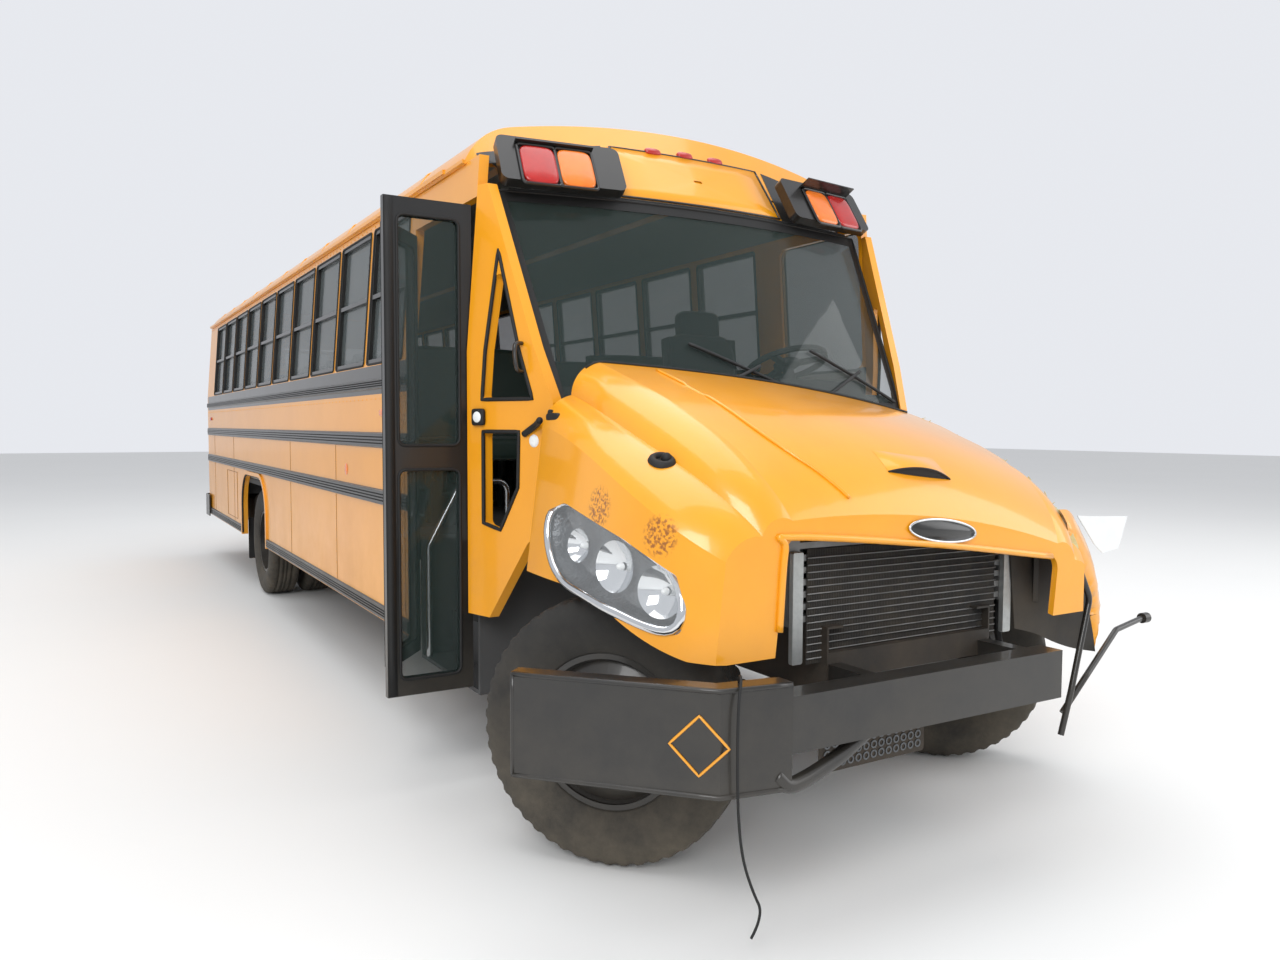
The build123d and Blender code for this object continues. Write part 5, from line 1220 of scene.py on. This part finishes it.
class Sides:
    """Rib lines of the rub rails and their bright edge lines of painted highlight, window seals, rivets,
    seams and marker lamps.
    """
    BANDS = ((524, 603), (1178, 1266), (1500, 1590), (1834, 1897))

    def build(self) -> None:
        """Adds the pieces of both sides."""
        ribs, edges, seals, rivets, seams = [], [], [], [], []
        for side in (-1, 1):
            front = 1704.0 if side < 0 else 844.0
            for low, high in self.BANDS:
                runs = ((front, 5870.0), (7288.0, 9868.0)) if low < 1000 else ((front, 9868.0),)
                for a, b in runs:
                    for share in (0.3, 0.5, 0.7):
                        z = low + (high - low) * share
                        ribs.append(tube(((side * 1234.0, a, z), (side * 1234.0, b, z)), 4.0, 6))
                    # Painted highlight: bright metal lines at each rail's top and bottom edge, where light
                    # catches it.
                    for z in (low + 7, high - 7):
                        edges.append(tube(((side * 1232.5, a, z), (side * 1232.5, b, z)), 2.6, 6))
            for bay in range(WINDOW_COUNT):
                seals.append(self._seal(side, PILLAR_Y + WINDOW_PITCH * (bay + 0.5), 2377.5, 683.0, 785.0))
            if side > 0:
                seals.append(self._seal(side, 1215.0, 2350.0, 700.0, 770.0))
            for y in np.arange(front + 40, 9850, 94.0):
                rivets.append(dome((side * 1220.0, y, 1780.0), (side, 0, 0), 6.0, 3.0, 6))
                rivets.append(dome((side * 1158.5, y, 2795.0), (side, 0, 0.07), 6.0, 3.0, 6))
            for k in range(0, WINDOW_COUNT + 1, 2):
                y = PILLAR_Y + WINDOW_PITCH * k
                if abs(y - WHEELBASE) < 700:
                    continue
                seams.append(tube(((side * 1220.0, y, 607.0), (side * 1220.0, y, 1176.0)), 2.2, 6))
                seams.append(tube(((side * 1220.0, y, 1269.0), (side * 1220.0, y, 1498.0)), 2.2, 6))
                for z in np.arange(640, 1160, 74.0):
                    rivets.append(dome((side * 1220.0, y + 22, z), (side, 0, 0), 5.0, 2.6, 6))
        hatch = dense([(-1221, y, z) for y, z in ((7600, 640), (8300, 640), (8300, 1130), (7600, 1130))],
                      60, True)
        seams.append(hoop(hatch, 2.6, 6))
        for name, parts, finish, slot in (
                ("rail_ribs", ribs, SEAL_RUBBER, "black_paint"),
                ("rail_edge_highlights", edges, ALUMINIUM_AND_RAIL_HIGHLIGHT, "rail_steel"),
                # The rail edge lines are painted highlight.
                ("window_seals", seals, SEAL_RUBBER, "black_paint"),
                ("rivets", rivets, SIDE_ENAMEL, "yellow_paint"),
                ("panel_seams", seams, SEAM, "yellow_paint")):
            points, faces = merged(parts)
            add_piece(name, row(points), faces, finish, BODY)
        self._lamps()
        self._arch()

    def _seal(self, side: int, y: float, z: float, width: float, height: float) -> tuple[Points, list]:
        """A rubber seal round a window on the leaning wall."""
        flat = rounded_rectangle(width + 4, height + 4, 22, 4)
        heights = z + flat[:, 1]
        path = np.stack((side * (wall_x(heights) + 1.0), y + flat[:, 0], heights), 1)
        return hoop(path, 7.0, 6)

    def _lamps(self) -> None:
        """Amber marker lamps ahead, red ones behind, on both sides."""
        for name, y, finish, slot in (("side_markers_front", 2150.0, AMBER_LENS, "amber_lens"),
                                      ("side_markers_rear", 9600.0, RED_LENS, "red_lens")):
            points, faces = merged([crowned((26, 110, 38), (side * 1222.0, y, 1700.0), 0.0, 4.0, steps=8)
                                    for side in (-1, 1)])
            add_piece(name, row(points), faces, finish, BODY)
        points, faces = merged([dome((side * 1221.0, y, 1350.0), (side, 0, 0), 38, 5, 24)
                                for side in (-1, 1) for y in (3000.0,)])
        add_piece("side_reflectors", row(points), faces, AMBER_LENS, BODY)

    def _arch(self) -> None:
        """Rubber edge round both rear wheel arches."""
        parts = []
        for side in (-1, 1):
            flat = [(-664, 530), (-664, 812)]
            flat += [(-334 - 330 * np.cos(t), 810 + 330 * np.sin(t)) for t in np.linspace(0.1, np.pi / 2, 8)]
            flat += [(-x, z) for x, z in flat[::-1]]
            path = [(side * 1226.0, WHEELBASE + x, z) for x, z in flat]
            parts.append(tube(np.array(path), 9.0, 8))
        points, faces = merged(parts)
        add_piece("arch_edges", row(points), faces, SEAL_RUBBER, BODY)


class Roof:
    """Raised bow seams and drip rails."""

    def build(self) -> None:
        """Adds the pieces."""
        half = np.array(((1157, 2832), (1130, 2880), (1084, 2947), (1000, 2996), (905, 3041), (700, 3078),
                         (450, 3102), (200, 3117), (0, 3121)), float)
        section = np.vstack((half, half[::-1][1:] * (-1, 1)))
        parts = []
        for k in range(WINDOW_COUNT + 1):
            y = PILLAR_Y + WINDOW_PITCH * k
            path = np.stack((section[:, 0], np.full(len(section), y), section[:, 1]), 1)
            parts.append(ribbon_on(path, 46.0, 3.5))
        points, faces = merged(parts)
        add_piece("roof_seams", row(points), faces, YELLOW_ENAMEL, BODY)
        rails = [ribbon(np.array(((side * 1160.0, 1000.0, 2826.0), (side * 1160.0, 9860.0, 2826.0))),
                        (0, 0, 1), 16.0, (side, 0, 0.3), 16.0) for side in (-1, 1)]
        points, faces = merged(rails)
        add_piece("drip_rails", row(points), faces, YELLOW_ENAMEL, BODY, False)


def ribbon_on(path: Points, width: float, thick: float) -> tuple[Points, list]:
    """A low bar across the roof: four rows offset along y by the width and out by the thickness."""
    along = np.gradient(path, axis=0)
    out = np.cross(along, (0.0, 1.0, 0.0))
    out /= np.linalg.norm(out, axis=1)[:, None]
    out *= np.where(out[:, 2:3] < 0, -1.0, 1.0)
    rows = [path + (0, s * width / 2, 0) + out * t
            for s, t in ((-1, -2), (-0.8, thick), (0.8, thick), (1, -2))]
    points = np.stack(rows, 1).reshape(-1, 3)
    return points, grid_faces(len(path), 4, close_columns=True).tolist()


class Doors:
    """Rubber edges and pane seals of the entry door's leaves, and the emergency door's fittings."""

    def build(self) -> None:
        """Adds the pieces."""
        turn = np.radians(38)
        for name, origin, way in (("front", (-1185.0, 865.0), (-1.0, 0.0)),
                                  ("rear", (-1185.0, 1676.0), (-np.sin(turn), -np.cos(turn)))):
            along = np.array((*way, 0.0))
            normal = np.array((-way[1], way[0], 0.0))
            foot = np.array((*origin, 0.0))
            parts = []
            for face in (-1, 1):
                edge = np.array([foot + along * 378 + normal * face * 17 + (0, 0, z)
                                 for z in np.linspace(455, 2595, 12)])
                parts.append(ribbon(edge, along, 38, normal * face, 6))
                for low, high in ((520, 1440), (1540, 2530)):
                    flat = rounded_rectangle(276, high - low - 4, 30, 4)
                    path = (foot + along * 205 + (0, 0, (low + high) / 2) + flat[:, :1] * along
                            + flat[:, 1:] * np.array((0, 0, 1.0)) + normal * face * 18)
                    parts.append(hoop(path, 7.0, 6))
            points, faces = merged(parts)
            add_piece(f"door_seals_{name}", row(points), faces, SEAL_RUBBER, f"door_{name}")
        self._rear()

    def _rear(self) -> None:
        """Handle, hinges and seals of the emergency door."""
        hinges = [tube(((-395.0, 10000.0, z - 70), (-395.0, 10000.0, z + 70)), 11, 12)
                  for z in (1300, 1800, 2400)]
        points, faces = merged(hinges)
        add_piece("rear_door_hinges", row(points), faces, STAINLESS, BODY)
        parts = []
        for z, height in ((1620, 560), (2340, 460)):
            flat = rounded_rectangle(568, height + 8, 52, 6)
            path = np.stack((flat[:, 0], np.full(len(flat), REAR_FACE_Y + 2), z + flat[:, 1]), 1)
            parts.append(hoop(path, 8.0, 8))
        points, faces = merged(parts)
        add_piece("rear_door_seals", row(points), faces, SEAL_RUBBER, "rear_door")
        points, faces = merged([tube(smooth_path(((195, 10000, 1290), (195, 10045, 1290), (300, 10045, 1290),
                                                  (300, 10000, 1290))), 9, 10)])
        add_piece("rear_door_handle", row(points), faces, STAINLESS, "rear_door")


class Rear:
    """Window seals, lenses, blank plate and bumper edge at the back."""

    def build(self) -> None:
        """Adds the pieces."""
        parts = []
        for side in (-1, 1):
            flat = rounded_rectangle(526, 646, 52, 6)
            path = np.stack((side * 760 + flat[:, 0], np.full(len(flat), REAR_FACE_Y + 2),
                             2340 + flat[:, 1]), 1)
            parts.append(hoop(path, 8.0, 8))
        points, faces = merged(parts)
        add_piece("rear_window_seals", row(points), faces, SEAL_RUBBER, BODY)
        points, faces = merged([dome((side * 1000.0, REAR_FACE_Y + 1, 1330.0), (0, 1, 0), 52, 16, 24)
                                for side in (-1, 1)])
        add_piece("rear_turn_domes", row(points), faces, AMBER_LENS, BODY)
        points, faces = merged([dome((side * 820.0, REAR_FACE_Y + 1, 1330.0), (0, 1, 0), 52, 16, 24)
                                for side in (-1, 1)])
        add_piece("reversing_domes", row(points), faces, FROSTED, BODY)
        points, faces = prism(rounded_rectangle(305, 152, 14), (-820, REAR_FACE_Y + 1, 1080), (-1, 0, 0),
                              (0, 0, 1), 5, 1)
        add_piece("blank_plate", row(points), faces, GALVANISED, BODY)
        markers = [dome((x, 9990.0, 3010.0 - abs(x) * 0.06), (0, 1, 0.2), 32, 18, 16)
                   for x in (-860, -150, 0, 150, 860)]
        points, faces = merged(markers)
        add_piece("rear_markers", row(points), faces, RED_LENS, BODY)
        points, faces = merged([tube(((-1226.0, 10090.0, z), (1226.0, 10090.0, z)), 4.5, 8)
                                for z in (504, 756)])
        add_piece("rear_bumper_rims", row(points), faces, BLACK_ENAMEL, BODY)


class Cabin:
    """Upholstery, steering wheel rim, dials, and the pale lining of roof and walls."""

    def build(self) -> None:
        """Adds the pieces."""
        self._benches()
        self._driver()
        self._dash()
        self._lining()

    def _benches(self) -> None:
        """Cushions and backs over the CAD benches, each a crowned block."""
        cushions, backs = [], []
        for side in (-1, 1):
            for k in range(WINDOW_COUNT):
                y = FIRST_BENCH_Y + WINDOW_PITCH * k
                cushions.append(crowned((952, 402, 128), (side * BENCH_X, y + 196, 1496), 0.0, 7.0, steps=9))
                backs.append(crowned((952, 104, 590), (side * BENCH_X, y + 462, 1806), 0.116, 7.0, steps=9))
        for name, parts in (("bench_cushions", cushions), ("bench_backs", backs)):
            points, faces = merged(parts)
            add_piece(name, row(points), faces, BENCH_VINYL, BODY)

    def _driver(self) -> None:
        """The driver's seat: cushion, back and head rest."""
        for name, size, centre, tilt in (("driver_cushion", (500, 430, 135), (560, 1325, 1538), -0.02),
                                         ("driver_back", (490, 120, 650), (560, 1602, 1862), 0.115),
                                         ("driver_headrest", (290, 90, 180), (560, 1650, 2235), 0.1)):
            points, faces = crowned(size, centre, tilt, 5.0)
            add_piece(name, row(points), faces, SEAT_CLOTH, BODY)

    def _dash(self) -> None:
        """Round rim of the steering wheel and blank dials."""
        way = np.array((0.0, 138.0, 340.0)) / np.hypot(138.0, 340.0)
        centre = np.array((560.0, 800.0, 1960.0))
        turn = np.linspace(0, 2 * np.pi, 48, endpoint=False)[:, None]
        side = np.array((1.0, 0.0, 0.0))
        up = np.cross(way, side)
        rim = centre + 207 * (side * np.cos(turn) + up * np.sin(turn))
        parts = [hoop(rim, 15.0, 10), dome(centre + way * 8, way, 66, 26, 28)]
        points, faces = merged(parts)
        add_piece("steering_rim", row(points), faces, WHEEL_SKIN, BODY)
        dials, bezels = [], []
        for x, radius in ((430, 34), (520, 52), (640, 52), (730, 34)):
            at = np.array((float(x), 652.0, 1795.0))
            dials.append(lathe(((0, 0.5), (0, radius)), at, (0, 0.95, 0.2), 28))
            bezels.append(lathe(((0, radius), (8, radius), (8, radius + 6), (-4, radius + 8)), at,
                                (0, 0.95, 0.2), 28, True))
        points, faces = merged(bezels)
        add_piece("dial_bezels", row(points), faces, CHROME, BODY)
        points, faces = merged(dials)
        add_piece("dial_faces", row(points), faces, FROSTED, BODY)

    def _lining(self) -> None:
        """Enamelled lining sheets: the roof's arc inset by its depth, and the walls below the windows."""
        half = np.array(((1108, 2800), (1090, 2850), (1040, 2900), (890, 2990), (690, 3030), (440, 3053),
                         (200, 3068), (0, 3071)), float)
        section = np.vstack((half, half[::-1][1:] * (-1, 1)))
        y = np.linspace(1300, 9850, 12)
        points = np.stack((np.repeat(section[:, 0], 12), np.tile(y, len(section)),
                           np.repeat(section[:, 1], 12)), 1)
        add_piece("roof_lining", row(points), grid_faces(len(section), 12).tolist(), LINING,
                  BODY)
        parts = []
        for side in (-1, 1):
            front = 1760.0 if side < 0 else 900.0
            wall = np.array([(side * 1172.0, yy, z) for z in (1100.0, 1950.0) for yy in (front, 9860.0)])
            parts.append((wall, grid_faces(2, 2)))
        points, faces = merged(parts)
        add_piece("wall_lining", row(points), faces, LINING, BODY, False)


class Front:
    """Lamp, reflector, latch strap and mirror bracket on the cowl, quarter window seals, and the
    stop arm's border."""

    def __init__(self, nodes: dict[str, bpy.types.Object]) -> None:
        """Takes the cowl's skin from the CAD nodes."""
        self.skin = Skin(nodes, "cowl")

    def build(self) -> None:
        """Adds the pieces."""
        normal = np.array((-0.92, -0.40, 0.0))
        across, up = np.array((0.40, -0.92, 0.0)), np.array((0.0, 0.0, 1.0))
        place = self.skin.nearest([(-1189, 767, 1667)])[0]
        points, faces = prism(rounded_rectangle(74, 74, 14), place, across, up, 20, 5)
        add_piece("cowl_lamp_rim", row(points), faces, SEAL_RUBBER, BODY)
        points, faces = dome(place + normal * 19, normal, 25, 7, 24)
        add_piece("cowl_lamp", row(points), faces, FROSTED, BODY)
        strap = smooth_path(((-1088, 520, 1594), (-1072, 450, 1628), (-1082, 390, 1644),
                             (-1104, 330, 1652)), 6)
        points, faces = tube(strap, 14.0, 10)
        add_piece("latch_strap", row(points), faces, SEAL_RUBBER, BODY)
        place = self.skin.nearest([(-1063, 475, 1566)])[0]
        points, faces = dome(place, normal, 27, 8, 24)
        add_piece("cowl_reflector", row(points), faces, FROSTED, BODY)
        loop = smooth_path([np.array((-1089, 536, 1937)) + normal * a + up * b + across * c
                            for a, b, c in ((0, 40, 0), (38, 36, 0), (46, 0, 0), (42, -70, 10),
                                            (0, -80, 10))], 6)
        points, faces = tube(loop, 9, 8)
        add_piece("mirror_bracket", row(points), faces, BLACK_ENAMEL, BODY)
        parts = []
        for side in (-1, 1):
            for outline in (((700, 2400), (758, 1735), (477, 1735)),
                            ((752, 1610), (550, 1610), (556, 1364), (655, 1170), (752, 1195))):
                flat = dense([(*p, 0) for p in outline], 24, True)[:, :2]
                middle = flat.mean(0)
                flat = middle + (flat - middle) * 0.97
                x = side * (wall_x(flat[:, 1]) - COWL_TAPER * (DOOR_FRONT_Y - flat[:, 0]))
                path = np.stack((x, flat[:, 0], flat[:, 1]), 1)
                parts.append(hoop(path, 9.0, 6))
        points, faces = merged(parts)
        add_piece("quarter_seals", row(points), faces, SEAL_RUBBER, BODY)
        self._stop_arm()

    def _stop_arm(self) -> None:
        """White border of the blank octagon on both of its faces."""
        parts = []
        for x, face in ((1272.0, 1), (1252.0, -1)):
            rings = []
            for radius in (236.0, 212.0):
                turn = np.pi / 8 + np.arange(8) * np.pi / 4
                rings.append(np.stack((np.full(8, x), 1490 + radius * np.cos(turn),
                                       1700 + radius * np.sin(turn)), 1))
            quads = grid_faces(2, 8, close_columns=True)
            parts.append((np.concatenate(rings), quads if face > 0 else quads[:, ::-1]))
        points, faces = merged(parts)
        add_piece("stop_border", row(points), faces, FROSTED, "stop_arm", False)


class Underside:
    """Mud flaps, brake chambers, a battery box and lines along the frame."""

    def build(self) -> None:
        """Adds the pieces."""
        flaps = [prism(rounded_rectangle(600, 420, 10), (side * 860, 7330, 460), (1, 0, 0), (0, 0, 1), 10, 1)
                 for side in (-1, 1)]
        points, faces = merged(flaps)
        add_piece("mud_flaps", row(points), faces, SEAL_RUBBER, BODY, False)
        tanks = [lathe(((-330, 0.5), (-330, 60), (-300, 115), (300, 115), (330, 60), (330, 0.5)),
                       (x, 3500, 780), (0, 1, 0), 28) for x in (-250.0,)]
        chambers = [lathe(((-90, 0.5), (-90, 70), (-20, 84), (20, 84), (90, 62), (90, 0.5)),
                          (side * 470, 6350, 560), (0, 1, 0.2), 24) for side in (-1, 1)]
        points, faces = merged(tanks + chambers)
        add_piece("air_tank_and_chambers", row(points), faces, CHASSIS_PAINT, BODY)
        lines = [tube(((side * 340.0, 1600.0, z), (side * 340.0, 9700.0, z)), 9, 8) for side in (-1, 1)
                 for z in (880.0, 850.0)]
        points, faces = merged(lines)
        add_piece("frame_lines", row(points), faces, SEAL_RUBBER, BODY)
        points, faces = crowned((420, 640, 330), (-930, 3900, 850), 0.0, 14.0, 0.0, 8)
        add_piece("battery_box", row(points), faces, CHASSIS_PAINT, BODY)


def main() -> None:
    """Builds the dressed bus in order."""
    logging.basicConfig(level=logging.INFO, format="%(name)s %(message)s")
    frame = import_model()
    Studio().build()
    CadFinishes().dress(frame["nodes"])
    Wheels().build()
    Windshield().build()
    FrontCap(frame["nodes"]).build()
    Hood(frame["nodes"]).build()
    Nose().build()
    LooseWire().build()
    Front(frame["nodes"]).build()
    Sides().build()
    Roof().build()
    Doors().build()
    Rear().build()
    Cabin().build()
    Underside().build()


if __name__ == "__main__":
    main()
